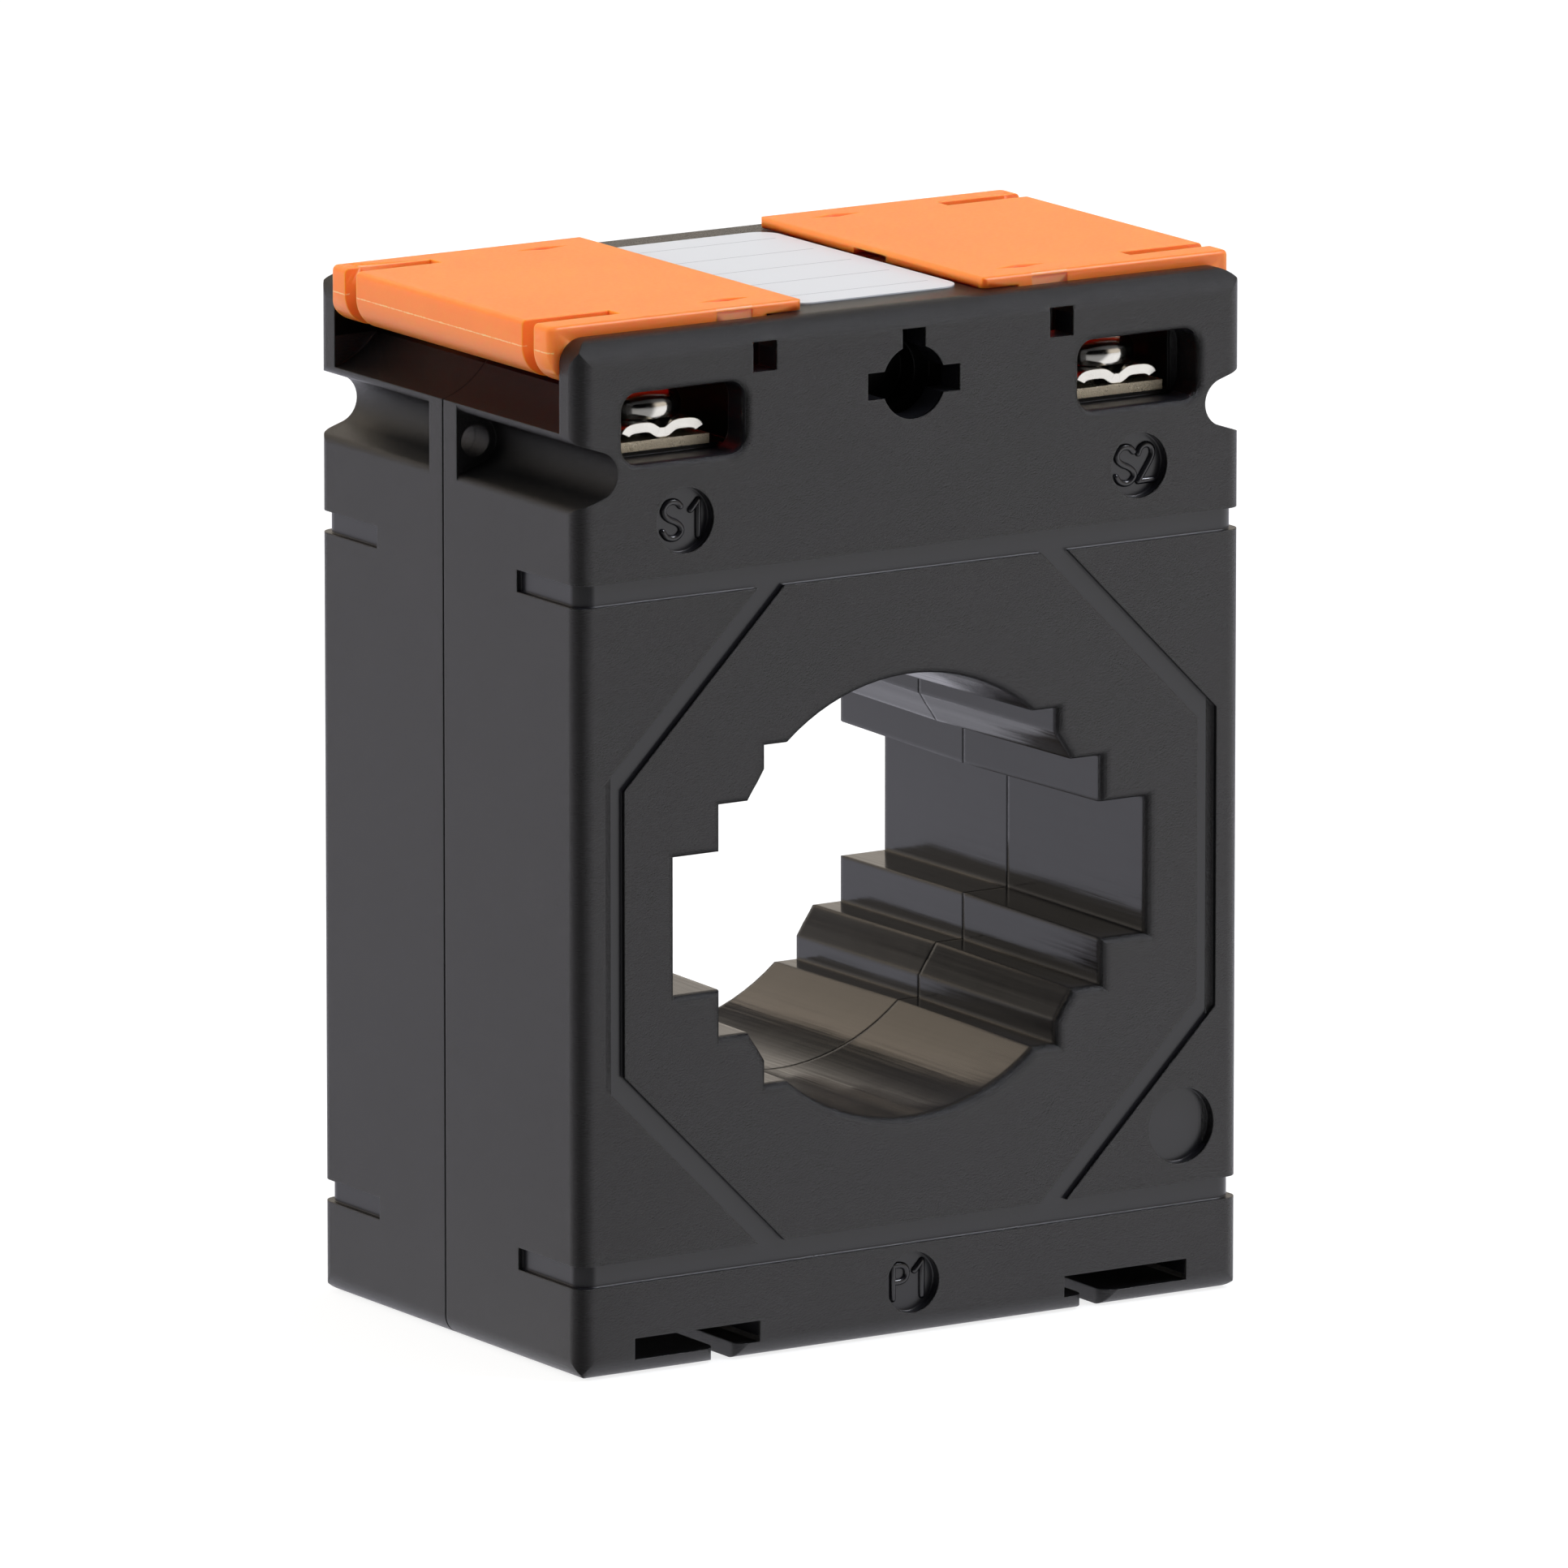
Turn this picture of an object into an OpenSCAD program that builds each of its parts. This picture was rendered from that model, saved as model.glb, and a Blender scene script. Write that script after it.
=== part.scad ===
// Window-type current transformer for a flat busbar.
// X runs across the front face, Y from the front face to the rear face, Z up.
// The origin is the middle of the base.

/* [Body] */
// Height of the body, without the covers
body_h = 77.2; // [77:0.1:84]
// Depth of the body from the front face to the rear face
body_d = 36.3; // [35:0.1:44]
// Depth of the front shell, from the front face to the parting line
front_shell_d = 18.6; // [17.8:0.1:19.6]
// Radius of the upright corners
corner_r = 1.3; // [0.8:0.1:1.8]
// Radius of the edges round the top
rim_r = 1.9; // [1:0.1:2.2]
// Radius of the edges round the base
base_r = 1.5; // [0.8:0.1:1.8]
// Thickness of the side walls beside the winding
side_wall = 1.5; // [1.2:0.1:1.8]
// Thickness of the front and rear walls over the winding
face_wall = 1.6; // [1.2:0.1:2.2]
// Thickness of the front and rear walls round the terminals
top_wall = 2.5; // [2.2:0.1:3]
// Relief along the parting line
parting_relief = 0.1; // [0.05:0.01:0.2]

/* [Conductor window] */
// Height of the middle of the window over the base
window_z = 33.1; // [33:0.1:34]
// Width of the wide busbar slot
slot_w = 41.2; // [38:0.1:44]
// Height of the wide busbar slot
slot_h = 10.3; // [9:0.1:11]
// Width of the middle step
step_w = 33.3; // [31:0.1:34.5]
// Height of the middle step
step_h = 17.3; // [16:0.1:18]
// Width of the square opening
square_w = 25.4; // [24:0.1:26.2]
// Height of the square opening
square_h = 25.3; // [24:0.1:26]
// Width across the sloped corners of the square opening
slope_w = 28.2; // [27.4:0.1:29]
// Height at which the sloped corners start
slope_h = 21.8; // [21:0.1:22.6]
// Radius of the round cable opening
cable_r = 16.6; // [16:0.1:17]
// Rounding where the window meets the front and rear faces
window_edge_r = 0.65; // [0.3:0.05:0.8]
// Draft of the window walls between a face and the parting line
window_draft = 0.2; // [0.1:0.05:0.35]
// Wall of the sleeve round the window
sleeve_wall = 1.2; // [0.9:0.1:1.3]

/* [Face lines and marks] */
// Width of the smooth recessed lines
line_w = 1.65; // [1.2:0.05:2]
// Depth of the smooth recessed lines
line_depth = 0.4; // [0.2:0.05:0.5]
// Distance from the window middle to the inner edge of the level lines
line_z = 24.5; // [24.2:0.1:25.2]
// Distance from a side face to the inner edge of the upright line next to it
line_inset = 3.95; // [3.6:0.05:4.6]
// Height of the upright lines' upper ends over the window middle
line_flat = 10.65; // [9.5:0.05:12]
// Length of the level lines round each corner on the side faces
line_wrap = 8.4; // [6:0.1:10]
// Diameter of the recessed mark discs
disc_d = 4.9; // [4:0.1:5.4]
// Diameter of the larger recessed disc on the front face
big_disc_d = 5.75; // [5:0.05:6.2]
// Depth of the mark discs
disc_depth = 0.8; // [0.3:0.05:1]
// Height of the primary mark disc over the base
primary_disc_z = 4; // [3.8:0.1:4.2]
// Distance of the secondary mark discs below the top
secondary_disc_drop = 13.9; // [13.4:0.1:14.2]
// Distance of the larger disc from the side face
big_disc_inset = 5.3; // [4.6:0.1:6]
// Height of the larger disc over the base
big_disc_z = 13; // [12.4:0.1:13.8]

/* [Foot slots] */
// Distance from a side face to the outer side of its foot slot
foot_inset = 4.8; // [4.4:0.05:6]
// Width of a foot slot
foot_w = 10.85; // [10:0.05:11.5]
// Height of a foot slot over its lips
foot_h = 1.6; // [1.3:0.1:1.8]
// Thickness of the lips below a foot slot
foot_lip = 1.2; // [0.9:0.1:1.4]
// Width of the lip between the inner side of a foot slot and its mouth
foot_lip_w = 1.85; // [1.3:0.05:2.4]
// Width of the mouth of a foot slot
foot_mouth_w = 1.8; // [1.4:0.1:3.2]
// Rounding of the inner lip where the mouth meets a face
foot_in_r = 1.1; // [0.6:0.1:1.2]
// Rounding of the outer lip where the mouth meets a face
foot_out_r = 1.4; // [0.6:0.1:2]

/* [Side notches] */
// Distance of the notch middle below the top
notch_drop = 9.9; // [9.7:0.1:10]
// Radius of the round bottom of a notch
notch_r = 1.82; // [1.6:0.02:1.9]
// Depth of the round bottom's middle below the side face
notch_u = 1.6; // [1.5:0.05:1.7]
// Slope of the notch flanks in degrees
notch_slope = 18; // [14:1:20]
// Rounding of the notch lips
notch_lip_r = 0.6; // [0.4:0.05:0.7]
// Thickness of the web between a front notch and a rear notch
notch_web = 3.8; // [3:0.1:5]
// Diameter of the hole through the web
web_hole_d = 2.4; // [2:0.1:2.8]

/* [Front openings] */
// Distance from a side face to the middle of a terminal
terminal_inset = 9.22; // [9:0.02:9.5]
// Width of a terminal opening
port_w = 10.5; // [9.5:0.1:10.8]
// Height of a terminal opening
port_h = 5.2; // [4.8:0.1:5.4]
// Corner radius of a terminal opening
port_r = 1.35; // [1:0.05:2]
// Rounding of the edge of a terminal opening
port_edge_r = 0.6; // [0.3:0.05:0.8]
// Distance of the terminal opening's lower edge below the top
port_drop = 9.35; // [9.2:0.05:9.5]
// Distance from a side face to the middle of a catch hole
catch_inset = 16.1; // [15.9:0.05:16.4]
// Width of a catch hole
catch_w = 2.05; // [1.8:0.05:2.1]
// Height of a catch hole
catch_h = 2.2; // [1.8:0.1:2.4]
// Distance of the catch hole's upper edge below the top
catch_drop = 1.35; // [1.2:0.05:1.5]
// Distance of the keyed hole's middle below the top
key_drop = 5.65; // [5.4:0.05:6]
// Radius of the keyed hole
key_r = 2.75; // [2.4:0.05:3]
// Reach of the keyed hole's three tabs
key_tab = 4; // [3.6:0.1:4.2]
// Width of the tabs
key_tab_w = 2; // [1.6:0.1:2.4]
// Depth of the chamber behind the keyed hole
key_chamber = 3.5; // [2:0.1:6]

/* [Covers] */
// Distance from a side face to the inner edge of its cover
cover_inset = 21.2; // [20.8:0.05:21.4]
// Reach of a cover past the side face
cover_overhang = 0.6; // [0.4:0.05:1]
// Thickness of the cover plate
cover_t = 0.8; // [0.7:0.05:1.2]
// Gap under the closed cover plate
cover_seat = 0.05; // [0.03:0.01:0.1]
// Gap between a cover and the walls on each side of it
cover_gap = 0.35; // [0.2:0.05:0.5]
// Corner radius of a cover
cover_corner_r = 0.6; // [0.3:0.1:1]
// Rounding of a cover's upper edge at its outer end
cover_end_r = 1.3; // [0.4:0.1:1.5]
// Thickness of the ribs under a cover's front and rear edges
rib_t = 0.9; // [0.6:0.1:1.4]
// Depth of the ribs below the cover plate
rib_h = 0.6; // [0.3:0.05:0.8]
// Width of the side tongues
tongue_w = 2.15; // [1.8:0.05:2.6]
// Width of the slots beside the side tongues
tongue_slot = 1.6; // [1:0.1:2]
// Length of the slots from the outer end
tongue_l = 7.4; // [6:0.1:9]
// Radius of the rounded nose
nose_r = 2.4; // [2:0.05:2.5]
// Height of the upright band over the rounded nose
nose_band = 1.95; // [1.7:0.05:2.2]
// Wall of the middle nose
nose_wall = 1.2; // [0.8:0.1:1.5]
// Length of the solid nose of a side tongue past the round
nose_heel = 1.8; // [1.2:0.1:2]
// Distance of the hinge axis below the top of the body
hinge_drop = 1.8; // [1.7:0.05:2]
// Radius of the hinge pins
hinge_pin_r = 0.9; // [0.7:0.05:1]
// Radial play of the hinge pins
hinge_play = 0.05; // [0.03:0.01:0.08]
// Length of a hinge pin inside the wall
hinge_pin_l = 1; // [0.6:0.1:1.2]
// Width of the catch legs
leg_w = 1.8; // [1.4:0.1:1.9]
// Thickness of the catch legs
leg_t = 0.9; // [0.7:0.1:1.2]
// Reach of the catch barbs
barb = 0.4; // [0.3:0.05:0.5]
// Length of the pointed dimples
dimple_l = 4.5; // [3:0.1:5]
// Depth of the pointed dimples in their middle
dimple_depth = 0.55; // [0.3:0.05:0.6]
// Distance of the dimples from the side edge of the cover
dimple_inset = 2.75; // [2.3:0.05:3.2]
// Length of the shallow flat in the side edge over the catch
flat_l = 3.1; // [2:0.1:4]
// Depth of the shallow flat
flat_depth = 0.1; // [0.05:0.05:0.25]
// Distance of the flat's inner end from the middle of the catch
flat_in = 0.75; // [0.4:0.05:1]
// Width of the lifting notch in the inner edge
pry_w = 4.4; // [3:0.1:6]
// Height of the lifting notch
pry_h = 0.45; // [0.3:0.05:0.5]

/* [Top] */
// Distance from a side face to the inner edge of the opening under its cover
deck_inset = 18.4; // [18:0.1:18.8]
// Depth of the tray under the covers
tray_drop = 4.2; // [4:0.1:4.4]
// Radius of the hollow end ramp
ramp_r = 7.05; // [6.8:0.05:7.2]
// Distance of the ramp's centre outside the side face
ramp_out = 1.85; // [1.7:0.05:2]
// Distance of the ramp's centre below the top
ramp_drop = 0.15; // [0:0.05:0.3]
// Gap between the label and a cover
label_gap = 0.4; // [0.2:0.05:1]
// Length of the label
label_l = 26.8; // [22:0.1:28]
// Corner radius of the label
label_r = 1.8; // [1:0.1:3]
// Thickness of the label
label_t = 0.1; // [0.05:0.01:0.2]

/* [Terminals] */
// Distance of the terminal bar's upper face below the top
bar_drop = 8.25; // [8.15:0.05:8.35]
// Width of the terminal bars
bar_w = 7.7; // [7.2:0.1:7.8]
// Thickness of the terminal bars
bar_t = 0.75; // [0.6:0.05:0.9]
// Gap between a bar and the walls at its ends
bar_gap = 0.3; // [0.2:0.05:0.35]
// Distance from the middle of a terminal to the inner wall of its chamber
chamber_in = 5.8; // [4.6:0.1:6]
// Distance from the middle of a terminal to the outer wall of its chamber
chamber_out = 4.4; // [4.2:0.05:4.5]
// Distance from a face to the screws next to it
screw_y = 6.8; // [6.6:0.1:7.2]
// Thread diameter of the clamp screws
screw_d = 4; // [3.5:0.1:4]
// Length of the clamp screws under the head
screw_l = 6.6; // [6:0.1:7]
// Diameter of the screw heads
head_d = 6.6; // [6:0.1:7]
// Height of the screw heads
head_h = 2.4; // [2:0.1:2.5]
// Radius of the domed head
head_dome_r = 5; // [4:0.1:7]
// Width of the driving slot
driver_slot = 0.9; // [0.6:0.1:1.2]
// Width of the clamp washers
washer_w = 7; // [6.6:0.1:7.4]
// Length of the clamp washers
washer_l = 7.4; // [6.8:0.1:7.4]
// Thickness of the clamp washers
washer_t = 0.7; // [0.5:0.05:0.8]
// Height of the washers' wings over the bar
washer_rise = 1.42; // [1.3:0.02:1.6]
// Depth of the groove between the wings
washer_groove = 0.46; // [0.3:0.02:0.6]
// Width of the flat top of a wing
washer_flat = 1.5; // [1.2:0.1:1.6]
// Radial play of a screw in its washer and its nut
screw_play = 0.06; // [0.04:0.01:0.09]
// Width across the flats of the square nuts
nut_w = 7; // [6.8:0.1:7]
// Thickness of the square nuts
nut_t = 2.4; // [2.2:0.1:2.8]
// Gap round the nuts in their pockets
nut_gap = 0.1; // [0.05:0.05:0.15]

/* [Core and winding] */
// Thickness of the wound core from its inner face to its outer face
core_t = 2; // [1.6:0.1:3]
// Gap between the wound core and the shells
coil_gap = 0.1; // [0.05:0.05:0.15]
// Thickness of the outer tape
tape_t = 0.15; // [0.1:0.05:0.25]
// Diameter of the winding wire
wire_d = 0.9; // [0.7:0.05:1]
// Number of turns
turns = 60; // [20:1:80]
// Thickness of the insulating end caps
cap_t = 0.6; // [0.4:0.05:0.8]
// Thickness of the insulating caps over the core's inner and outer faces
cap_skin = 0.25; // [0.15:0.05:0.3]
// Length of the insulating caps along the core
cap_l = 6; // [4:0.5:10]
// Wall of the sleeves on the lead wires
lead_sleeve = 0.5; // [0.3:0.05:0.6]
// Radius of the locating pegs between the shells
peg_r = 1.5; // [1.2:0.1:1.8]
// Length of the locating pegs
peg_l = 5; // [3:0.5:8]
// Distance of the pegs from the side faces
peg_inset = 4.6; // [4.4:0.1:5]

/* [Hidden] */
$fn = 64;

black_plastic = [0.24, 0.24, 0.25];
orange_plastic = [1.0, 0.62, 0.35];
nickel = [0.78, 0.76, 0.7];
copper = [0.72, 0.42, 0.24];

// A cut reaches this far past the surface that it opens
past = 1;
clear_fit = 0.3;

front_y = -body_d / 2;
rear_y = body_d / 2;
rear_shell_d = body_d - front_shell_d;

// Half sizes of the window's openings, as half width and half height
slot_half = [slot_w / 2, slot_h / 2];
step_half = [step_w / 2, step_h / 2];
square_half = [square_w / 2, square_h / 2];
slope_half = [slope_w / 2, step_h / 2];
slope_start = [square_w / 2, slope_h / 2];

// The ring of core and winding fits round the wide slot, and the body fits round the ring
slot_corner = norm([slot_half[0] + sleeve_wall, slot_half[1] + sleeve_wall]);
tape_inner_r = slot_corner + coil_gap;
winding_inner_r = tape_inner_r + tape_t;
cap_inner_r = winding_inner_r + wire_d;
core_inner_r = cap_inner_r + cap_skin;
core_outer_r = core_inner_r + core_t;
cap_outer_r = core_outer_r + cap_skin;
winding_outer_r = cap_outer_r + wire_d;
tape_outer_r = winding_outer_r + tape_t;
cavity_r = tape_outer_r + coil_gap;
side_x = cavity_r + side_wall;
body_w = 2 * side_x;
coil_front = front_y + face_wall + coil_gap;
coil_rear = rear_y - face_wall - coil_gap;
tooth_depth = wire_d / 3;

// Distances from the middle of what is placed from a side face
line_x = side_x - line_inset;
foot_x = side_x - foot_inset - foot_w;
foot_mouth_x = foot_x + foot_lip_w;
terminal_x = side_x - terminal_inset;
catch_x = side_x - catch_inset;
cover_inner_x = side_x - cover_inset;
deck_x = side_x - deck_inset;
label_w = 2 * (cover_inner_x - label_gap);

// Heights of what sits in the top of the body
tray_z = body_h - tray_drop;
bar_top = body_h - bar_drop;
bar_bottom = bar_top - bar_t;
nut_bottom = bar_bottom - nut_t;
head_bottom = bar_top + washer_rise;
screw_bottom = head_bottom - screw_l;
port_z = body_h - port_drop + port_h / 2;
catch_z = body_h - catch_drop - catch_h / 2;
key_z = body_h - key_drop;
notch_z = body_h - notch_drop;
ramp_x = side_x + ramp_out;
ramp_z = body_h - ramp_drop;

bar_l = body_d - 2 * (top_wall + bar_gap);

// The pockets in the corners of the shells
pocket_x = side_x - side_wall;
pocket_low = foot_lip + foot_h + side_wall;
pocket_high = window_z + cavity_r + side_wall / 2;
ring_wall = 1.2;
boss_r = peg_r + 0.9;
peg_low_z = window_z - line_z + 0.9;
peg_high_z = window_z + line_z - 0.6;

// The covers
cover_outer_x = side_x + cover_overhang;
cover_w = cover_outer_x - cover_inner_x;
cover_half = body_d / 2 - top_wall - cover_gap;
cover_bottom = body_h + cover_seat;
cover_top = cover_bottom + cover_t;
nose_x = cover_outer_x - nose_r;
nose_z = cover_top - nose_band;
cover_low = nose_z - nose_r - past;
hinge_z = body_h - hinge_drop;
barb_top = catch_z + catch_h / 2 - 0.25;
leg_bottom = barb_top - 0.45;
cover_edge_r = cover_t * 0.4;
ramp_bottom = ramp_z - ramp_r;

// Stretches an upright outline in X and Z from y0 to y1
module along_y(y0, y1) {
    translate([0, y1, 0]) rotate([90, 0, 0]) linear_extrude(y1 - y0) children();
}

// Stretches an outline in Y and Z from x0 to x1
module along_x(x0, x1) {
    translate([x0, 0, 0]) rotate([90, 0, 90]) linear_extrude(x1 - x0) children();
}

// A rectangle with round corners, centred
module round_rect(w, h, r) {
    square([w - 2 * r, h], center = true);
    square([w, h - 2 * r], center = true);
    for (x = [-1, 1], y = [-1, 1]) translate([x * (w / 2 - r), y * (h / 2 - r)]) circle(r);
}

// The same shape on both sides of the middle
module both_sides() {
    children();
    mirror([1, 0, 0]) children();
}

// What a rounded edge leaves open: x runs outward from the opening, y from the face into the wall
module edge_profile(r) {
    difference() {
        translate([-r / 2, -past]) square([1.5 * r, past + r]);
        translate([r, r]) circle(r);
    }
}

// An opening with round corners and a rounded edge, through a wall with its face at y = 0
module soft_opening(w, h, r, edge_r, depth) {
    along_y(-past, depth) round_rect(w, h, r);
    for (x = [0, 1]) mirror([x, 0, 0]) {
        translate([w / 2, 0, r - h / 2]) linear_extrude(h - 2 * r) edge_profile(edge_r);
        for (z = [0, 1]) mirror([0, 0, z]) translate([w / 2 - r, 0, r - h / 2]) rotate([-90, 0, 0])
            rotate_extrude(angle = 90) translate([r, 0]) edge_profile(edge_r);
    }
    for (z = [0, 1]) mirror([0, 0, z])
        along_x(r - w / 2, w / 2 - r) translate([0, h / 2]) mirror([1, -1]) edge_profile(edge_r);
}

// Upright outline of the body for a width, with top and base set in by a distance
module rim_outline(w, inset) {
    intersection() {
        translate([0, -inset]) round_rect(w, 2 * body_h, rim_r);
        translate([0, body_h + inset]) round_rect(w, 2 * body_h, base_r);
    }
}

// The outer form of both shells together, from the front face at y = 0
module body_block() {
    intersection() {
        translate([0, body_d / 2, 0]) linear_extrude(body_h) round_rect(body_w, body_d, corner_r);
        along_y(0, body_d) rim_outline(body_w, 0);
        along_x(-side_x, side_x) translate([body_d / 2, 0]) rim_outline(body_d, 0);
    }
}

// Corners of a rectangle that has grown by g
function rect_points(half, g) = [
    [-half[0] - g, -half[1] - g], [half[0] + g, -half[1] - g],
    [half[0] + g, half[1] + g], [-half[0] - g, half[1] + g]
];

// Corners of the square opening's sloped shoulders, grown by g
function shoulder_points(g) =
    let (run = slope_half[0] - slope_start[0], rise = slope_start[1] - slope_half[1])
    let (slant = norm([run, rise]), nx = rise / slant, nz = run / slant)
    let (xa = slope_start[0] + g * (1 - nz) / nx, za = slope_start[1] + g)
    let (xb = slope_half[0] + g, zb = slope_half[1] + g * (1 - nx) / nz)
    [[-xa, -za], [xa, -za], [xb, -zb], [xb, zb], [xa, za], [-xa, za], [-xb, zb], [-xb, -zb]];

// How much the window has grown at each depth below a face: round edge, then draft
edge_steps = 4;
function window_levels(depth) = concat(
    [[-past, window_edge_r]],
    [for (i = [0:edge_steps]) let (a = 90 * i / edge_steps)
        [window_edge_r * (1 - cos(a)), window_edge_r * (1 - sin(a))]],
    [[depth, -window_draft], [depth + past, -window_draft]]
);

// A closed solid through the outlines rings[i], each at the depth ys[i]
module loft_y(rings, ys) {
    n = len(rings[0]);
    last = len(rings) - 1;
    polyhedron(
        points = [for (k = [0:last], p = rings[k]) [p[0], ys[k], p[1]]],
        faces = concat(
            [[for (i = [n - 1:-1:0]) i]],
            [[for (i = [0:n - 1]) last * n + i]],
            [for (k = [0:last - 1], i = [0:n - 1]) let (j = (i + 1) % n)
                [k * n + i, k * n + j, (k + 1) * n + j, (k + 1) * n + i]]
        )
    );
}

// The window cut out of one shell, from its face at y = 0 to past the parting line
module window_cut(depth) {
    levels = window_levels(depth);
    ys = [for (v = levels) v[0]];
    translate([0, 0, window_z]) {
        loft_y([for (v = levels) rect_points(slot_half, v[1])], ys);
        loft_y([for (v = levels) rect_points(step_half, v[1])], ys);
        loft_y([for (v = levels) rect_points(square_half, v[1])], ys);
        loft_y([for (v = levels) shoulder_points(v[1])], ys);
        rotate([-90, 0, 0]) rotate_extrude($fn = 96) polygon(concat(
            [[0, -past]], [for (v = levels) [cable_r + v[1], v[0]]], [[0, depth + past]]
        ));
    }
}

// Outline of the sleeve round the window
module sleeve_outline() {
    grow = 2 * sleeve_wall;
    square([slot_w + grow, slot_h + grow], center = true);
    square([step_w + grow, step_h + grow], center = true);
    square([square_w + grow, square_h + grow], center = true);
    polygon(shoulder_points(sleeve_wall));
    circle(cable_r + sleeve_wall);
}

// Outline of an eight-sided ring line, grown by g from its inner edge
module line_octagon(g) {
    x = line_x + g;
    z = line_z + g;
    reach = line_x + line_flat + g * sqrt(2);
    polygon([
        [reach - z, z], [z - reach, z], [-x, reach - x], [-x, x - reach],
        [z - reach, -z], [reach - z, -z], [x, x - reach], [x, reach - x]
    ]);
}

// The smooth lines sunk into a face and round its corners
module face_lines() {
    translate([0, 0, window_z]) {
        along_y(-past, line_depth) difference() {
            line_octagon(line_w);
            line_octagon(0);
        }
        for (side = [-1, 1]) translate([0, 0, side * (line_z + line_w / 2) - line_w / 2])
            linear_extrude(line_w) difference() {
                translate([-side_x - past, -past]) square([body_w + 2 * past, line_wrap + past]);
                translate([0, body_d / 2])
                    round_rect(body_w - 2 * line_depth, body_d - 2 * line_depth, corner_r);
            }
    }
}

// A round recess for a mark
module mark_disc(x, z, d) {
    translate([x, -past, z]) rotate([-90, 0, 0]) cylinder(d = d, h = past + disc_depth);
}

// A foot slot with its mouth through the base, on the right
module foot_slot() {
    translate([foot_x, -past, foot_lip]) cube([foot_w, body_d + 2 * past, foot_h]);
    translate([foot_mouth_x, 0, -past]) linear_extrude(foot_lip + past + foot_h / 2) {
        translate([0, -past]) square([foot_mouth_w, body_d + 2 * past]);
        mirror([1, 0]) edge_profile(foot_in_r);
        translate([foot_mouth_w, 0]) edge_profile(foot_out_r);
    }
}

// Outline of a side notch: u runs inward from the side face, v is the height
module notch_outline() {
    dx = sin(notch_slope);
    dz = cos(notch_slope);
    foot = [notch_u + dx * notch_r, dz * notch_r];
    lip_line = foot[1] + (foot[0] - notch_lip_r) * dx / dz;
    lip = [notch_lip_r, lip_line + notch_lip_r / dz];
    touch = [lip[0] - dx * notch_lip_r, lip[1] - dz * notch_lip_r];
    translate([notch_u, 0]) circle(notch_r);
    difference() {
        polygon([
            [-past, lip[1]], lip, touch, foot,
            [foot[0], -foot[1]], [touch[0], -touch[1]], [lip[0], -lip[1]], [-past, -lip[1]]
        ]);
        for (v = [-1, 1]) translate([lip[0], v * lip[1]]) circle(notch_lip_r);
    }
}

// The notch pocket of a shell on the right, and the hole through its web
module side_notch(depth, web) {
    translate([side_x, 0, notch_z]) mirror([1, 0, 0]) {
        along_y(-past, depth - web) notch_outline();
        translate([notch_u, -past, 0]) rotate([-90, 0, 0])
            cylinder(d = web_hole_d, h = depth + 2 * past);
    }
}

// The keyed hole in the top middle of a face and the chamber behind it
module keyed_hole() {
    translate([0, 0, key_z]) {
        along_y(-past, top_wall) {
            circle(key_r);
            translate([-key_tab, -key_tab_w / 2]) square([2 * key_tab, key_tab_w]);
            translate([-key_tab_w / 2, 0]) square([key_tab_w, key_tab]);
        }
        along_y(top_wall / 2, top_wall + key_chamber) circle(key_r);
        along_y(top_wall, top_wall + key_chamber / 2) circle(key_tab + 0.1);
    }
}

// Everything cut out round the right-hand terminal of a shell
module terminal_cuts() {
    inner_l = body_d - 2 * top_wall;
    translate([terminal_x, 0, port_z])
        soft_opening(port_w, port_h, port_r, port_edge_r, top_wall + past / 2);
    translate([catch_x - catch_w / 2, -past, catch_z - catch_h / 2])
        cube([catch_w, top_wall + 2 * past, catch_h]);
    // tray under the cover and the chamber for the bar and its screws
    translate([deck_x, top_wall, tray_z])
        cube([terminal_x + chamber_out - deck_x, inner_l, tray_drop + past]);
    translate([terminal_x - chamber_in, top_wall, bar_bottom])
        cube([chamber_in + chamber_out, inner_l, tray_z - bar_bottom + past]);
    // hollow ramp at the open end
    translate([ramp_x, top_wall, ramp_z]) rotate([-90, 0, 0]) cylinder(r = ramp_r, h = inner_l, $fn = 96);
    // pocket for the nut and room for the end of the screw
    translate([terminal_x - nut_w / 2 - nut_gap, screw_y - nut_w / 2 - nut_gap, nut_bottom])
        cube([nut_w + 2 * nut_gap, nut_w + 2 * nut_gap, nut_t + past / 2]);
    translate([terminal_x, screw_y, screw_bottom - clear_fit])
        cylinder(r = screw_d / 2 + clear_fit, h = nut_bottom - screw_bottom + past);
    // way of the lead from the winding to the bar
    translate([terminal_x, body_d / 2, window_z + cavity_r / 2])
        cylinder(r = wire_d / 2 + lead_sleeve + 0.2, h = bar_bottom - window_z - cavity_r / 2 + past / 2);
    // sockets for the hinge pins of the cover
    translate([nose_x, top_wall - hinge_pin_l - clear_fit, hinge_z]) rotate([-90, 0, 0])
        cylinder(r = hinge_pin_r + hinge_play, h = hinge_pin_l + clear_fit + past / 2);
}

// Places children at the four locating pegs
module at_pegs() {
    for (x = [-1, 1], z = [peg_low_z, peg_high_z])
        translate([x * (side_x - peg_inset), 0, z]) rotate([-90, 0, 0]) children();
}

// The hollow inside a shell: the ring for the core and the corner pockets
module inner_hollow(depth) {
    along_y(face_wall, depth + past) translate([0, window_z]) difference() {
        circle(cavity_r, $fn = 96);
        sleeve_outline();
    }
    difference() {
        along_y(face_wall, depth + past) difference() {
            translate([-pocket_x, pocket_low]) square([2 * pocket_x, pocket_high - pocket_low]);
            translate([0, window_z]) circle(cavity_r + ring_wall, $fn = 96);
        }
        at_pegs() cylinder(r = boss_r, h = depth + 2 * past);
    }
}

// The step that leaves a fine groove along the parting line
module parting_step(depth) {
    along_y(depth - parting_relief, depth + past) difference() {
        translate([-side_x - past, -past]) square([body_w + 2 * past, body_h + 2 * past]);
        rim_outline(body_w - 2 * parting_relief, parting_relief);
    }
}

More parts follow.
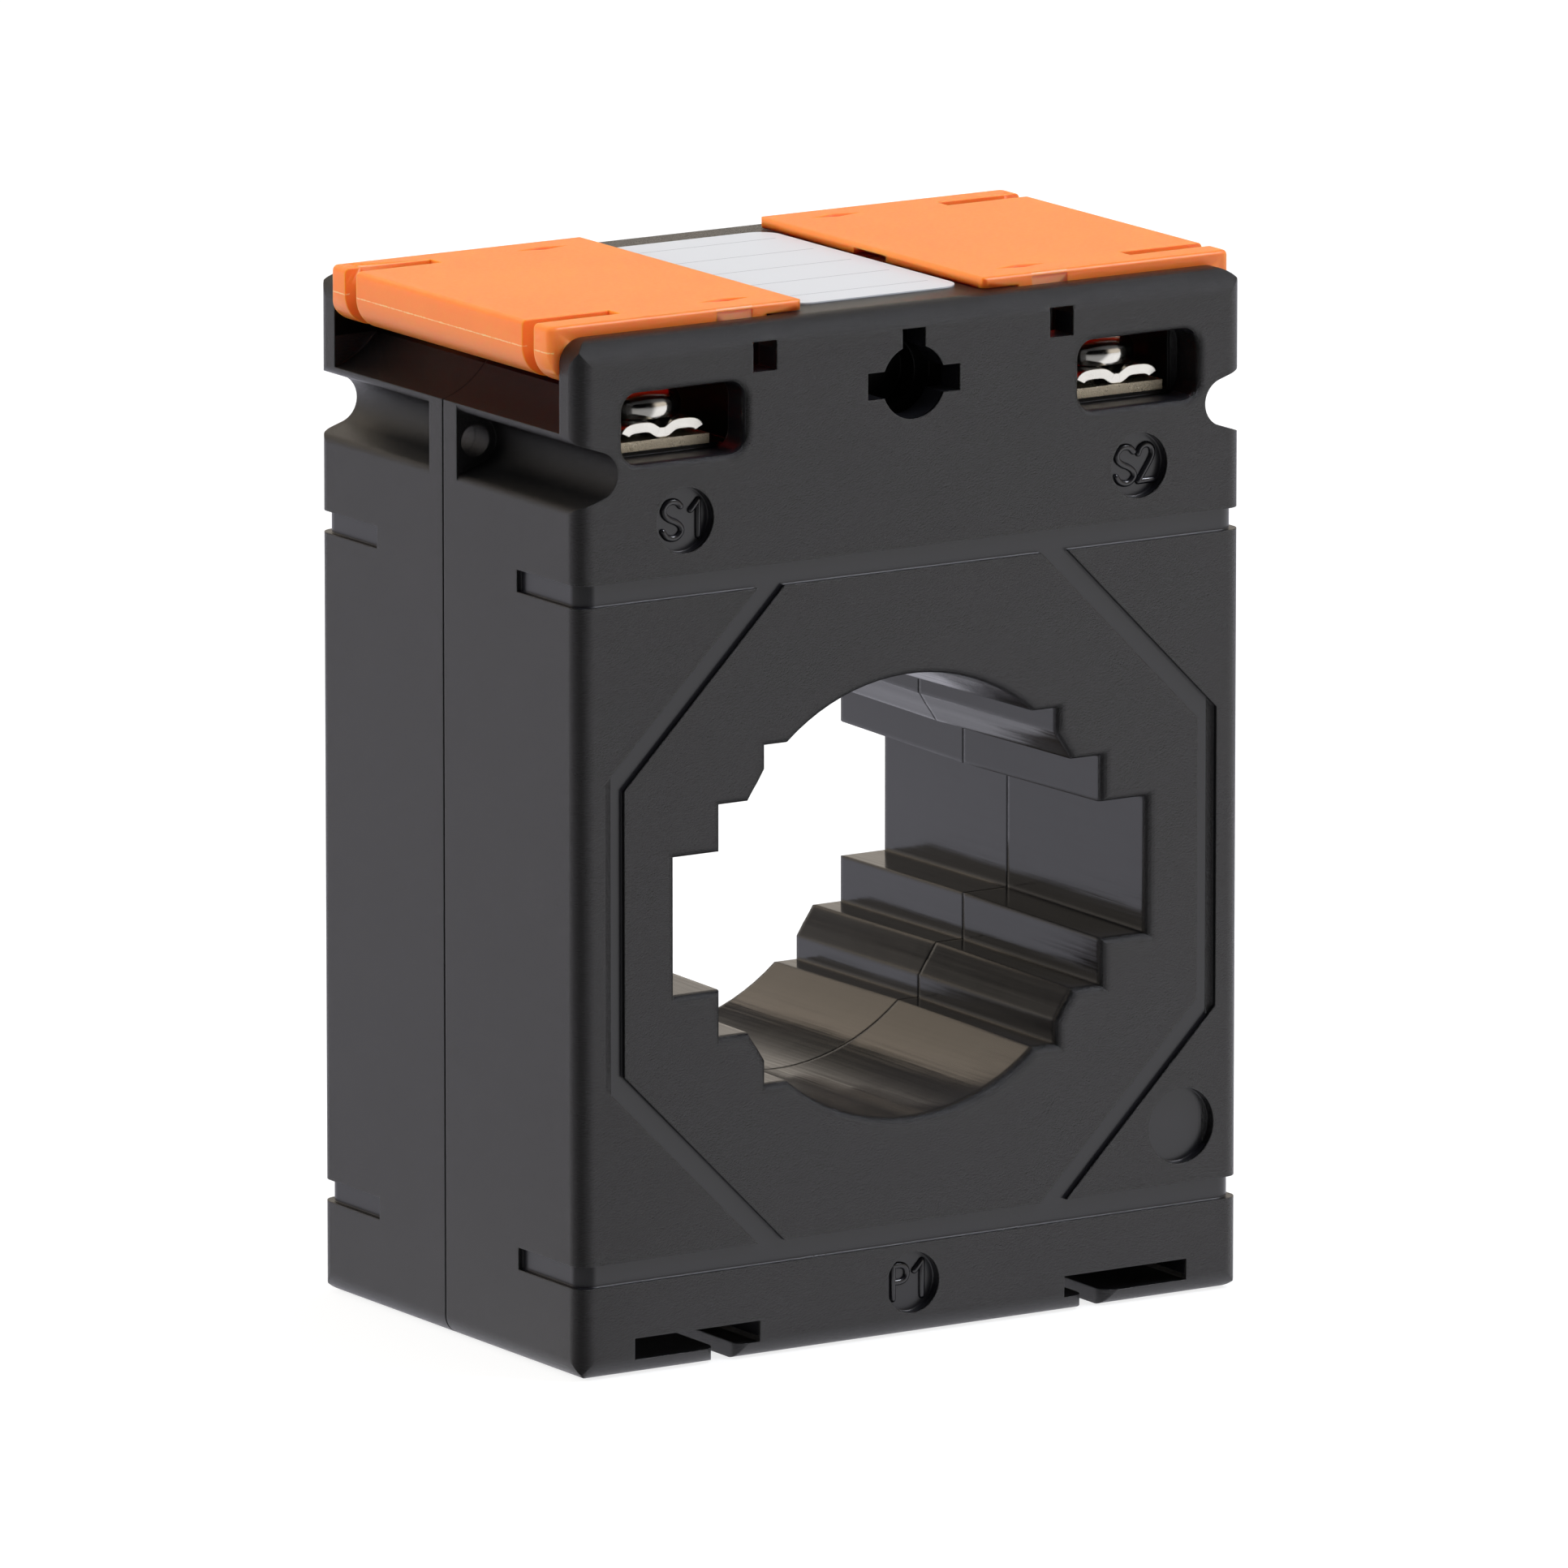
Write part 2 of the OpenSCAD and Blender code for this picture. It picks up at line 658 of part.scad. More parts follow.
// One shell, with its face at y = 0 and its parting line at y = depth
module half_shell(depth, web) {
    difference() {
        intersection() {
            body_block();
            translate([-side_x - past, -past, -past])
                cube([body_w + 2 * past, depth + past, body_h + 2 * past]);
        }
        window_cut(depth);
        face_lines();
        inner_hollow(depth);
        keyed_hole();
        parting_step(depth);
        mark_disc(0, primary_disc_z, disc_d - 0.3);
        both_sides() {
            mark_disc(terminal_x, body_h - secondary_disc_drop, disc_d);
            foot_slot();
            side_notch(depth, web);
            terminal_cuts();
        }
    }
}

module front_shell() color(black_plastic) {
    translate([0, front_y, 0]) {
        difference() {
            half_shell(front_shell_d, notch_web / 2);
            mark_disc(side_x - big_disc_inset, big_disc_z, big_disc_d);
        }
        translate([0, front_shell_d - past, 0]) at_pegs() cylinder(r = peg_r, h = peg_l + past);
    }
}

module rear_shell() color(black_plastic) {
    translate([0, rear_y, 0]) mirror([0, 1, 0]) difference() {
        half_shell(rear_shell_d, notch_web / 2);
        translate([0, rear_shell_d - peg_l - clear_fit, 0]) at_pegs()
            cylinder(r = peg_r + 0.02, h = peg_l + clear_fit + past);
    }
}

// Section through the solid nose of a side tongue, from the plate down
module nose_section() {
    translate([nose_x, nose_z]) circle(nose_r);
    translate([nose_x - nose_heel, nose_z - nose_r]) square([nose_heel, cover_top - nose_z + nose_r]);
    translate([nose_x - nose_heel, nose_z]) square([nose_heel + nose_r, cover_top - nose_z]);
}

// The space under the plate and inside the nose of the middle tongue
module nose_inside() {
    translate([nose_x, nose_z]) circle(nose_r - nose_wall);
    translate([0, nose_z - nose_r - past]) square([nose_x, cover_bottom - nose_z + nose_r + past]);
    translate([0, nose_z]) square([nose_x + nose_r - nose_wall, cover_bottom - nose_z]);
}

// A catch leg on the front side of the right cover
module catch_leg() {
    outer = -body_d / 2 + top_wall + barb + 0.05;
    translate([catch_x - leg_w / 2, outer, leg_bottom])
        cube([leg_w, leg_t, cover_bottom - leg_bottom + 0.1]);
    along_x(catch_x - leg_w / 2, catch_x + leg_w / 2) polygon([
        [outer + 0.1, barb_top], [outer - barb, barb_top],
        [outer - barb, barb_top - 0.2], [outer + 0.1, leg_bottom + 0.1]
    ]);
}

// The right-hand cover
module cover() {
    difference() {
        union() {
            intersection() {
                translate([cover_inner_x + cover_w / 2, 0, cover_low]) linear_extrude(body_h)
                    round_rect(cover_w, 2 * cover_half, cover_corner_r);
                along_y(-cover_half, cover_half) {
                    translate([cover_inner_x, cover_bottom]) square([cover_w - nose_r, cover_t]);
                    nose_section();
                }
                // soft upper edges all round
                along_x(0, cover_outer_x + past) translate([0, cover_top - body_h / 2])
                    round_rect(2 * cover_half, body_h, cover_edge_r);
                along_y(-body_d, body_d)
                    translate([cover_inner_x + cover_w / 2, cover_top - body_h / 2])
                    round_rect(cover_w, body_h, cover_edge_r);
                along_y(-body_d, body_d) translate([cover_outer_x - side_x, cover_top - body_h / 2])
                    round_rect(body_w, body_h, cover_end_r);
            }
            for (y = [0, 1]) mirror([0, y, 0]) {
                catch_leg();
                // rib that reaches into the opening of the body
                translate([deck_x + cover_gap, -cover_half, cover_bottom - rib_h])
                    cube([nose_x - nose_heel - deck_x, rib_t, rib_h + 0.1]);
                translate([nose_x, -cover_half - cover_gap - hinge_pin_l, hinge_z]) rotate([-90, 0, 0])
                    cylinder(r = hinge_pin_r, h = cover_gap + hinge_pin_l + tongue_w / 2);
            }
        }
        middle = cover_half - tongue_w - tongue_slot;
        along_y(-middle - tongue_slot / 2, middle + tongue_slot / 2) nose_inside();
        for (y = [0, 1]) mirror([0, y, 0]) {
            // slot that frees the side tongue
            translate([cover_outer_x - tongue_l, middle, cover_low])
                cube([tongue_l + past, tongue_slot, body_h]);
            for (x = [0, 1]) translate([catch_x, cover_half - dimple_inset, cover_top]) mirror([x, 0, 0])
                rotate([0, 90, 0]) cylinder(r1 = dimple_depth, r2 = 0, h = dimple_l / 2);
            // shallow flat in the side edge over the catch hole
            translate([catch_x - flat_in, cover_half - flat_depth, cover_bottom - past])
                cube([flat_l, past, past + cover_t * 0.65]);
        }
        // lifting notch
        translate([cover_inner_x - past, -pry_w / 2, cover_bottom - past])
            cube([2 * past, pry_w, past + pry_h]);
    }
}

module right_cover() color(orange_plastic) cover();

module left_cover() color(orange_plastic) mirror([1, 0, 0]) cover();

module rating_label() color([0.9, 0.91, 0.92]) {
    translate([0, 0, body_h]) linear_extrude(label_t) round_rect(label_w, label_l, label_r);
}

// A flat bar that both screws of a terminal clamp onto, with a hole for the lead
module terminal_bar() {
    difference() {
        translate([terminal_x - bar_w / 2, -bar_l / 2, bar_bottom]) cube([bar_w, bar_l, bar_t]);
        for (side = [-1, 1]) translate([terminal_x, side * (body_d / 2 - screw_y), bar_bottom - past])
            cylinder(r = screw_d / 2 + clear_fit, h = bar_t + 2 * past);
        translate([terminal_x, 0, bar_bottom - past]) cylinder(r = wire_d / 2 + 0.05, h = bar_t + 2 * past);
    }
}

module right_terminal_bar() color(nickel) terminal_bar();

module left_terminal_bar() color(nickel) mirror([1, 0, 0]) terminal_bar();

// Puts the front right-hand fastener at another corner: sx and sy are 1 or -1
module at_terminal(sx, sy) {
    translate([sx * terminal_x, -sy * (body_d / 2 - screw_y), 0]) children();
}

// A domed screw with its axis upright, in its tightened place
module clamp_screw() color(nickel) {
    translate([0, 0, screw_bottom]) cylinder(d = screw_d, h = screw_l + head_h / 2);
    difference() {
        intersection() {
            translate([0, 0, head_bottom]) cylinder(d = head_d, h = head_h);
            translate([0, 0, head_bottom + head_h - head_dome_r]) sphere(head_dome_r);
        }
        for (a = [0, 90]) rotate(a) translate([-head_d / 3, -driver_slot / 2, head_bottom + head_h / 2])
            cube([head_d * 2 / 3, driver_slot, head_h]);
    }
}

// A strip of the washer's thickness from point p to point q, with round ends
module strip(p, q) {
    translate(p) rotate(atan2(q[1] - p[1], q[0] - p[0])) {
        translate([0, -washer_t / 2]) square([norm(q - p), washer_t]);
        circle(d = washer_t);
    }
    translate(q) circle(d = washer_t);
}

// A clamp washer bent to two wings with a groove between them over the screw's axis
module clamp_washer() color(nickel) {
    wing_z = washer_rise - washer_t / 2;
    tip_x = washer_w / 2 - washer_t / 2;
    flat_out = tip_x - washer_t;
    flat_in_x = flat_out - washer_flat;
    groove = [flat_in_x - washer_groove, wing_z - washer_groove];
    difference() {
        intersection() {
            translate([0, 0, bar_top]) along_y(-washer_l / 2, washer_l / 2) both_sides() {
                strip([0, groove[1]], groove);
                strip(groove, [flat_in_x, wing_z]);
                strip([flat_in_x, wing_z], [flat_out, wing_z]);
                strip([flat_out, wing_z], [tip_x, washer_t / 3]);
            }
            translate([-washer_w, -washer_l, bar_top])
                cube([2 * washer_w, 2 * washer_l, washer_rise + past]);
        }
        translate([0, 0, bar_top - past])
            cylinder(r = screw_d / 2 + screw_play, h = washer_rise + 2 * past);
    }
}

module square_nut() color(nickel) {
    difference() {
        translate([-nut_w / 2, -nut_w / 2, nut_bottom]) cube([nut_w, nut_w, nut_t]);
        translate([0, 0, nut_bottom - past]) cylinder(r = screw_d / 2 + screw_play, h = nut_t + 2 * past);
    }
}

module left_front_screw() at_terminal(-1, 1) clamp_screw();

module left_rear_screw() at_terminal(-1, -1) clamp_screw();

module right_front_screw() at_terminal(1, 1) clamp_screw();

module right_rear_screw() at_terminal(1, -1) clamp_screw();

module left_front_clamp() at_terminal(-1, 1) clamp_washer();

module left_rear_clamp() at_terminal(-1, -1) clamp_washer();

module right_front_clamp() at_terminal(1, 1) clamp_washer();

module right_rear_clamp() at_terminal(1, -1) clamp_washer();

module left_front_nut() at_terminal(-1, 1) square_nut();

module left_rear_nut() at_terminal(-1, -1) square_nut();

module right_front_nut() at_terminal(1, 1) square_nut();

module right_rear_nut() at_terminal(1, -1) square_nut();

// A ring round the window's axis, from y0 to y1
module ring(outer_r, inner_r, y0, y1) {
    translate([0, 0, window_z]) along_y(y0, y1) difference() {
        circle(outer_r, $fn = 96);
        circle(inner_r, $fn = 96);
    }
}

// The strip-wound steel core
module core_ring() color([0.45, 0.46, 0.48]) {
    inset = tape_t + wire_d + cap_t;
    ring(core_outer_r, core_inner_r, coil_front + inset, coil_rear - inset);
}

// An insulating cap over one end of the core
module core_cap() {
    difference() {
        ring(cap_outer_r, cap_inner_r, coil_front + tape_t + wire_d, coil_front + tape_t + wire_d + cap_l);
        ring(core_outer_r, core_inner_r, coil_front + tape_t + wire_d + cap_t, coil_rear);
    }
}

module front_core_cap() color([0.85, 0.83, 0.75]) core_cap();

module rear_core_cap() color([0.85, 0.83, 0.75]) mirror([0, 1, 0]) core_cap();

// Outline of a ring of wire turns: each turn is a ridge of the depth tooth_depth
function turn_points(crest_r, root_r) = [
    for (i = [0:turns - 1], k = [0:3]) let (
        a = 360 * (i + [0, 0.2, 0.5, 0.7][k]) / turns,
        r = k < 2 ? crest_r : root_r
    ) [r * cos(a), r * sin(a)]
];

// The copper winding: ridged rings outside and inside the core, closed at both ends
module secondary_winding() color(copper) {
    front = coil_front + tape_t;
    rear = coil_rear - tape_t;
    translate([0, 0, window_z]) difference() {
        along_y(front, rear) difference() {
            polygon(turn_points(winding_outer_r, winding_outer_r - tooth_depth));
            polygon(turn_points(winding_inner_r, winding_inner_r + tooth_depth));
        }
        along_y(front + wire_d, rear - wire_d) difference() {
            circle(cap_outer_r, $fn = 96);
            circle(cap_inner_r, $fn = 96);
        }
    }
    // the two ends of the wire, up to the terminal bars
    start_z = window_z + sqrt(pow(winding_outer_r - wire_d, 2) - pow(terminal_x, 2));
    both_sides() translate([terminal_x, 0, start_z]) cylinder(d = wire_d, h = bar_top - start_z);
}

// Tape over the outer face and both ends of the winding, open where the wire ends come out
module winding_tape() color([0.9, 0.86, 0.6]) {
    difference() {
        ring(tape_outer_r, tape_inner_r, coil_front, coil_rear);
        ring(winding_outer_r, winding_inner_r, coil_front + tape_t, coil_rear - tape_t);
        both_sides() translate([terminal_x, 0, window_z + tape_outer_r / 2])
            cylinder(r = wire_d / 2 + lead_sleeve, h = tape_outer_r);
    }
}

// An insulating sleeve on a lead wire
module lead_sleeve() {
    low = window_z + cavity_r * 0.75;
    translate([terminal_x, 0, low]) difference() {
        cylinder(r = wire_d / 2 + lead_sleeve, h = bar_bottom - clear_fit - low);
        translate([0, 0, -past]) cylinder(r = wire_d / 2 + 0.02, h = bar_bottom - low + 2 * past);
    }
}

module right_lead_sleeve() color([0.2, 0.3, 0.55]) lead_sleeve();

module left_lead_sleeve() color([0.6, 0.15, 0.12]) mirror([1, 0, 0]) lead_sleeve();

front_shell();
rear_shell();
left_cover();
right_cover();
rating_label();
left_terminal_bar();
right_terminal_bar();
left_front_screw();
left_rear_screw();
right_front_screw();
right_rear_screw();
left_front_clamp();
left_rear_clamp();
right_front_clamp();
right_rear_clamp();
left_front_nut();
left_rear_nut();
right_front_nut();
right_rear_nut();
core_ring();
front_core_cap();
rear_core_cap();
secondary_winding();
winding_tape();
left_lead_sleeve();
right_lead_sleeve();
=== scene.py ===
"""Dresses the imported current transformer: materials, raised marks, floor, lamps and camera."""
import math

import bmesh
import bpy
from bpy.props import FloatProperty, FloatVectorProperty, PointerProperty, StringProperty
from mathutils import Matrix, Vector


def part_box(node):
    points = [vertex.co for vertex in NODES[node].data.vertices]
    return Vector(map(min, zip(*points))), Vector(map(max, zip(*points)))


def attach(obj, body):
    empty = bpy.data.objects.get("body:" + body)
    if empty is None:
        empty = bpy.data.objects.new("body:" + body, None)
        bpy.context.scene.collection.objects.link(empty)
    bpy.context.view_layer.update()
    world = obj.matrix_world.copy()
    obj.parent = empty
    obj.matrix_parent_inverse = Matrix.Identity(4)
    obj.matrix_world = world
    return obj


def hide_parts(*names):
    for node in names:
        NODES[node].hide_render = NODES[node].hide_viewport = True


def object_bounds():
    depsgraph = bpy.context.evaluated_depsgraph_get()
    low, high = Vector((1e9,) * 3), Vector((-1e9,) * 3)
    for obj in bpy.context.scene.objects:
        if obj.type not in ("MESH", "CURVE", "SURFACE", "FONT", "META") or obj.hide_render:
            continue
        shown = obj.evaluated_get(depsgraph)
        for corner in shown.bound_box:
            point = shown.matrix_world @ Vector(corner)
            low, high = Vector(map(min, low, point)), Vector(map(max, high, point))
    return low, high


bl_info = {
    "name": "Current transformer dressing",
    "version": (1, 0, 0),
    "blender": (4, 5, 0),
    "location": "3D View > Sidebar > Transformer",
    "description": "Finishes, raised marks and studio for a window-type current transformer",
    "category": "Object",
}

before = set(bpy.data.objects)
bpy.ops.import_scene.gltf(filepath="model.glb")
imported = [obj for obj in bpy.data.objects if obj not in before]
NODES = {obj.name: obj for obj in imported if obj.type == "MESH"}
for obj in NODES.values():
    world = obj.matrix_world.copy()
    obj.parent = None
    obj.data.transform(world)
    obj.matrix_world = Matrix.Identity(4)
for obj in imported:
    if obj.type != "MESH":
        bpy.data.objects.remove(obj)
CAD_BOX = [list(corner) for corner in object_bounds()]
MM = 0.001

CORNERS = ("left_front", "left_rear", "right_front", "right_rear")

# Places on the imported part, in millimetres. X and Y count from the middle on both sides, Z from
# the base. A pair is the two ends of a range.
WINDOW_Z = 33.1
# Half width and half height of the window with its rounded edges, and their largest sum
OPENING_X, OPENING_Z, OPENING_SUM = 22.5, 18.2, 34.8
BEHIND_EDGES_Y = 17.5
# Floors of the sunk lines and discs, on the front and rear and where they wrap round the corners
SUNK_X, SUNK_Y, SUNK_Z = 26.0, 17.9, (1.6, 75.2)
WRAP_X, WRAP_Y, WRAPS_Z = 28.8, (9.7, 17.9), ((6.9, 8.65), (57.55, 59.3))
NOTCH_X, NOTCH_Z = (24.4, 40.0), (62.0, 72.6)
BAY_X, BAY_Y, BAY_Z = 28.95, 15.66, (67.4, 77.1)
JOINT_Y = (0.36, 0.54)
# The weld line's heights count from the window's middle
WELD_X, WELD_Y, WELD_Z = (0.34, 0.44), (18.0, 19.0), (16.6, 24.4)
FLASH_X, FLASH_Z = (29.2, 30.0), 76.12
FLAT_X, FLAT_Y = (12.16, 15.26), (15.15, 15.25)
DIMPLE_X, DIMPLE_Y, DIMPLE_Z = (10.6, 15.2), (11.9, 13.2), (77.3, 78.03)
DIMPLE_RIM, DIMPLE_FLOOR = 78.04, 77.7
LABEL_X, LABEL_Y = 6.2, 11.5
SECONDARY_DISC, PRIMARY_DISC = (19.78, 63.3), (0.0, 4.0)

# A cover's half width, its slots' near and far walls, and the radii of its corners, side edges
# and nose: as packed, and as crisp as on the real one
COVER_HALF, SLOT_IN, SLOT_OUT = 15.3, 11.55, 13.15
CORNER_R, EDGE_R, NOSE_R, CRISP_R = 0.6, 0.32, 1.3, 0.42

# A pan head from its rim to its middle, as radius and height over the seat, and the M4 thread
HEAD_H = 2.4
HEAD_RIM = [(2.9, -0.16), (3.18, -0.06), (3.3, 0.32), (3.3, 0.85), (3.22, 1.2), (3.02, 1.55),
            (2.7, 1.85), (2.35, 2.06)]
HEAD_CROWN = [(r, HEAD_H - 0.085 * r ** 2) for r in (2.0 - 0.07 * i for i in range(28))]
PITCH, CORE_R, THREAD_H = 0.7, 1.66, 0.32

# The sheet of a clamp washer, and the middle line of one wing: distance from the groove in the
# washer's middle, and height over the bar
SHEET_T, SHEET_HOLE_R = 0.75, 2.15
WING = [(0.0, 0.38), (0.3, 0.39), (0.6, 0.56), (0.95, 0.78), (1.4, 0.88), (2.3, 0.88),
        (2.8, 0.78), (3.08, 0.58), (3.2, 0.38)]


# Helpers for colours, nodes and masks

def linear(hex_code):
    """A six-digit sRGB hex code as linear red, green, blue and alpha."""
    parts = [int(hex_code[i:i + 2], 16) / 255 for i in (1, 3, 5)]
    return [p / 12.92 if p <= 0.04045 else ((p + 0.055) / 1.055) ** 2.4 for p in parts] + [1.0]


def add(tree, kind, sockets=None, **settings):
    """Adds a node. settings are its own options, and sockets its inputs: values or nodes."""
    made = tree.nodes.new(kind)
    for name, value in settings.items():
        setattr(made, name, value)
    for key, value in (sockets or {}).items():
        if isinstance(value, bpy.types.Node):
            value = value.outputs[0]
        if isinstance(value, bpy.types.NodeSocket):
            tree.links.new(value, made.inputs[key])
        else:
            made.inputs[key].default_value = value
    return made


def blank_material(name):
    """A material with an empty tree, and the object's own coordinates in millimetres."""
    mat = bpy.data.materials.new(name)
    mat.use_nodes = True
    tree = mat.node_tree
    tree.nodes.clear()
    place = add(tree, "ShaderNodeTexCoord").outputs["Object"]
    where = add(tree, "ShaderNodeVectorMath", {0: place, "Scale": 1 / MM}, operation="SCALE")
    return mat, tree, where


def surface(tree, sockets):
    """Ends a material: the shader with these inputs, wired to the output."""
    shader = add(tree, "ShaderNodeBsdfPrincipled", sockets)
    add(tree, "ShaderNodeOutputMaterial", {"Surface": shader})


def slab(tree, value, low, high):
    """1 where value lies between low and high, otherwise 0."""
    return add(tree, "ShaderNodeMath", {0: value, 1: (low + high) / 2, 2: (high - low) / 2},
               operation="COMPARE")


def both(tree, *masks):
    """The product of masks."""
    made = masks[0]
    for mask in masks[1:]:
        made = add(tree, "ShaderNodeMath", {0: made, 1: mask}, operation="MULTIPLY")
    return made


def either(tree, *masks):
    """The greatest of masks."""
    made = masks[0]
    for mask in masks[1:]:
        made = add(tree, "ShaderNodeMath", {0: made, 1: mask}, operation="MAXIMUM")
    return made


def outside(tree, mask):
    """1 where a mask is 0, and 0 where it is 1."""
    return add(tree, "ShaderNodeMath", {0: 1.0, 1: mask}, operation="SUBTRACT")


def distances(tree, where):
    """Distance to the left or right of the middle, distance before or behind it, and X, Y, Z."""
    x, y, z = add(tree, "ShaderNodeSeparateXYZ", {0: where}).outputs
    aside = add(tree, "ShaderNodeMath", {0: x}, operation="ABSOLUTE")
    behind = add(tree, "ShaderNodeMath", {0: y}, operation="ABSOLUTE")
    return aside, behind, x, y, z


def dress(obj, mat):
    """Gives every slot of a piece one material."""
    if not obj.material_slots:
        obj.data.materials.append(mat)
    for held in obj.material_slots:
        held.material = mat


# Sizes and colours that a user would change

class HousingLooks(bpy.types.PropertyGroup):
    base: StringProperty(name="Plastic", description="Colour of the moulded plastic",
                         default="#0C0C0D")
    band: StringProperty(name="Bands", description="Colour of the smooth sunk bands",
                         default="#16161A")
    grain: FloatProperty(name="Grain", description="Size of the spark texture's grains",
                         default=0.0001, min=0.00005, max=0.001, unit="LENGTH")


class CoverLooks(bpy.types.PropertyGroup):
    base: StringProperty(name="Plastic", description="Colour of the covers", default="#FF8C3C")
    depth: FloatProperty(name="Light depth", description="How far light spreads in the plastic",
                         default=0.0008, min=0.0, max=0.005, unit="LENGTH")


class MarkLooks(bpy.types.PropertyGroup):
    stroke: FloatProperty(name="Stroke", description="Radius of the raised half-round strokes",
                          default=0.00026, min=0.0001, max=0.0005, unit="LENGTH")


class StudioLooks(bpy.types.PropertyGroup):
    camera_at: FloatVectorProperty(name="Camera", description="Place of the camera", size=3,
                                   default=(-0.8198, -1.28495, 0.3542),
                                   subtype="TRANSLATION", unit="LENGTH")
    camera_along: FloatVectorProperty(name="View", description="Direction of the camera's view",
                                      size=3, default=(0.5268, 0.8254, -0.2029),
                                      subtype="DIRECTION")
    lens: FloatProperty(name="Lens", description="Focal length on a 36 mm sensor",
                        default=482.13, min=20.0, max=900.0, unit="CAMERA")


# Materials

def spark_textured_polycarbonate(looks):
    """Black glass-filled polycarbonate, injection moulded. Spark-eroded mould faces leave a fine
    matt grain; the bands, discs and window come from ground and polished steel and stay smooth."""
    mat, tree, where = blank_material("spark_textured_polycarbonate")
    ax, ay, x, y, z = distances(tree, where)
    up = add(tree, "ShaderNodeMath", {0: z, 1: WINDOW_Z}, operation="SUBTRACT")
    az = add(tree, "ShaderNodeMath", {0: up}, operation="ABSOLUTE")
    spread = add(tree, "ShaderNodeMath", {0: ax, 1: az}, operation="ADD")

    # what polished steel moulded: the window, the sunk lines and discs, and the terminal bays
    opening = both(tree, slab(tree, ax, 0, OPENING_X), slab(tree, az, 0, OPENING_Z),
                   slab(tree, spread, 0, OPENING_SUM))
    window = both(tree, opening, slab(tree, ay, 0, BEHIND_EDGES_Y))
    notch = both(tree, slab(tree, ax, *NOTCH_X), slab(tree, z, *NOTCH_Z))
    sunk = both(tree, slab(tree, ay, 0, SUNK_Y), slab(tree, ax, 0, SUNK_X),
                slab(tree, z, *SUNK_Z), outside(tree, either(tree, notch, opening)))
    wraps = both(tree, either(tree, *(slab(tree, z, *ends) for ends in WRAPS_Z)),
                 slab(tree, ay, *WRAP_Y), slab(tree, ax, 0, WRAP_X))
    bay = both(tree, slab(tree, ay, 0, BAY_Y), slab(tree, z, *BAY_Z), slab(tree, ax, 0, BAY_X),
               outside(tree, notch))
    smooth = either(tree, sunk, wraps, bay, window)

    # grit of the eroded mould, about 0.1 mm
    per_grain = MM / looks.grain
    grit = add(tree, "ShaderNodeTexNoise", {"Vector": where, "Scale": per_grain, "Detail": 3.0,
                                            "Roughness": 0.7})
    # single deep pits left by stronger sparks, a few to a square millimetre
    pits = add(tree, "ShaderNodeTexVoronoi", {"Vector": where, "Scale": 0.22 * per_grain})
    pit = add(tree, "ShaderNodeMapRange", {"Value": pits.outputs["Distance"], "From Min": 0.0,
                                           "From Max": 0.22, "To Min": -0.4, "To Max": 0.0})
    grain = add(tree, "ShaderNodeMath", {0: grit, 1: pit}, operation="ADD")
    # slow waves of the melt, 5 to 6 mm long
    flow = add(tree, "ShaderNodeTexNoise", {"Vector": where, "Scale": 0.18, "Detail": 2.0})
    # fine drag lines along the draw of the mould, about 0.3 mm apart
    stretched = add(tree, "ShaderNodeMapping", {"Vector": where, "Scale": (6.0, 0.12, 6.0)})
    drag = add(tree, "ShaderNodeTexNoise", {"Vector": stretched, "Scale": 0.6, "Detail": 3.0})
    # joint of the two shells, and the weld line of the melt over and under the window
    joint = slab(tree, y, *JOINT_Y)
    weld = both(tree, slab(tree, x, *WELD_X), slab(tree, az, *WELD_Z), slab(tree, ay, *WELD_Y))

    rough_grain = add(tree, "ShaderNodeMapRange", {"Value": grit, "To Min": 0.18,
                                                   "To Max": 0.27})
    rough_smooth = add(tree, "ShaderNodeMapRange", {"Value": flow, "To Min": 0.24,
                                                    "To Max": 0.34})
    rough_polish = add(tree, "ShaderNodeMapRange", {"Value": drag, "From Min": 0.35,
                                                    "From Max": 0.7, "To Min": 0.1,
                                                    "To Max": 0.22})
    rough = add(tree, "ShaderNodeMix", {0: smooth, 2: rough_grain, 3: rough_smooth})
    rough = add(tree, "ShaderNodeMix", {0: window, 2: rough, 3: rough_polish})

    shade = add(tree, "ShaderNodeMapRange", {"Value": flow, "From Min": 0.3, "From Max": 0.7,
                                             "To Min": 0.85, "To Max": 1.15})
    colour = add(tree, "ShaderNodeMix", {0: smooth, 6: linear(looks.base),
                                         7: linear(looks.band)}, data_type="RGBA")
    # the joint is an open slit, dark in its own colour; the inside of the terminal bays is painted
    # near black, which is painted shade, and hardly mirrors anything
    slit_and_painted_shade = either(tree, joint, bay)
    colour = add(tree, "ShaderNodeMix", {0: slit_and_painted_shade, 6: colour.outputs[2], 7: linear("#060606")},
                 data_type="RGBA")
    colour = add(tree, "ShaderNodeVectorMath", {0: colour.outputs[2], "Scale": shade},
                 operation="SCALE")
    gloss = add(tree, "ShaderNodeMapRange", {"Value": slit_and_painted_shade, "To Min": 0.5, "To Max": 0.2})

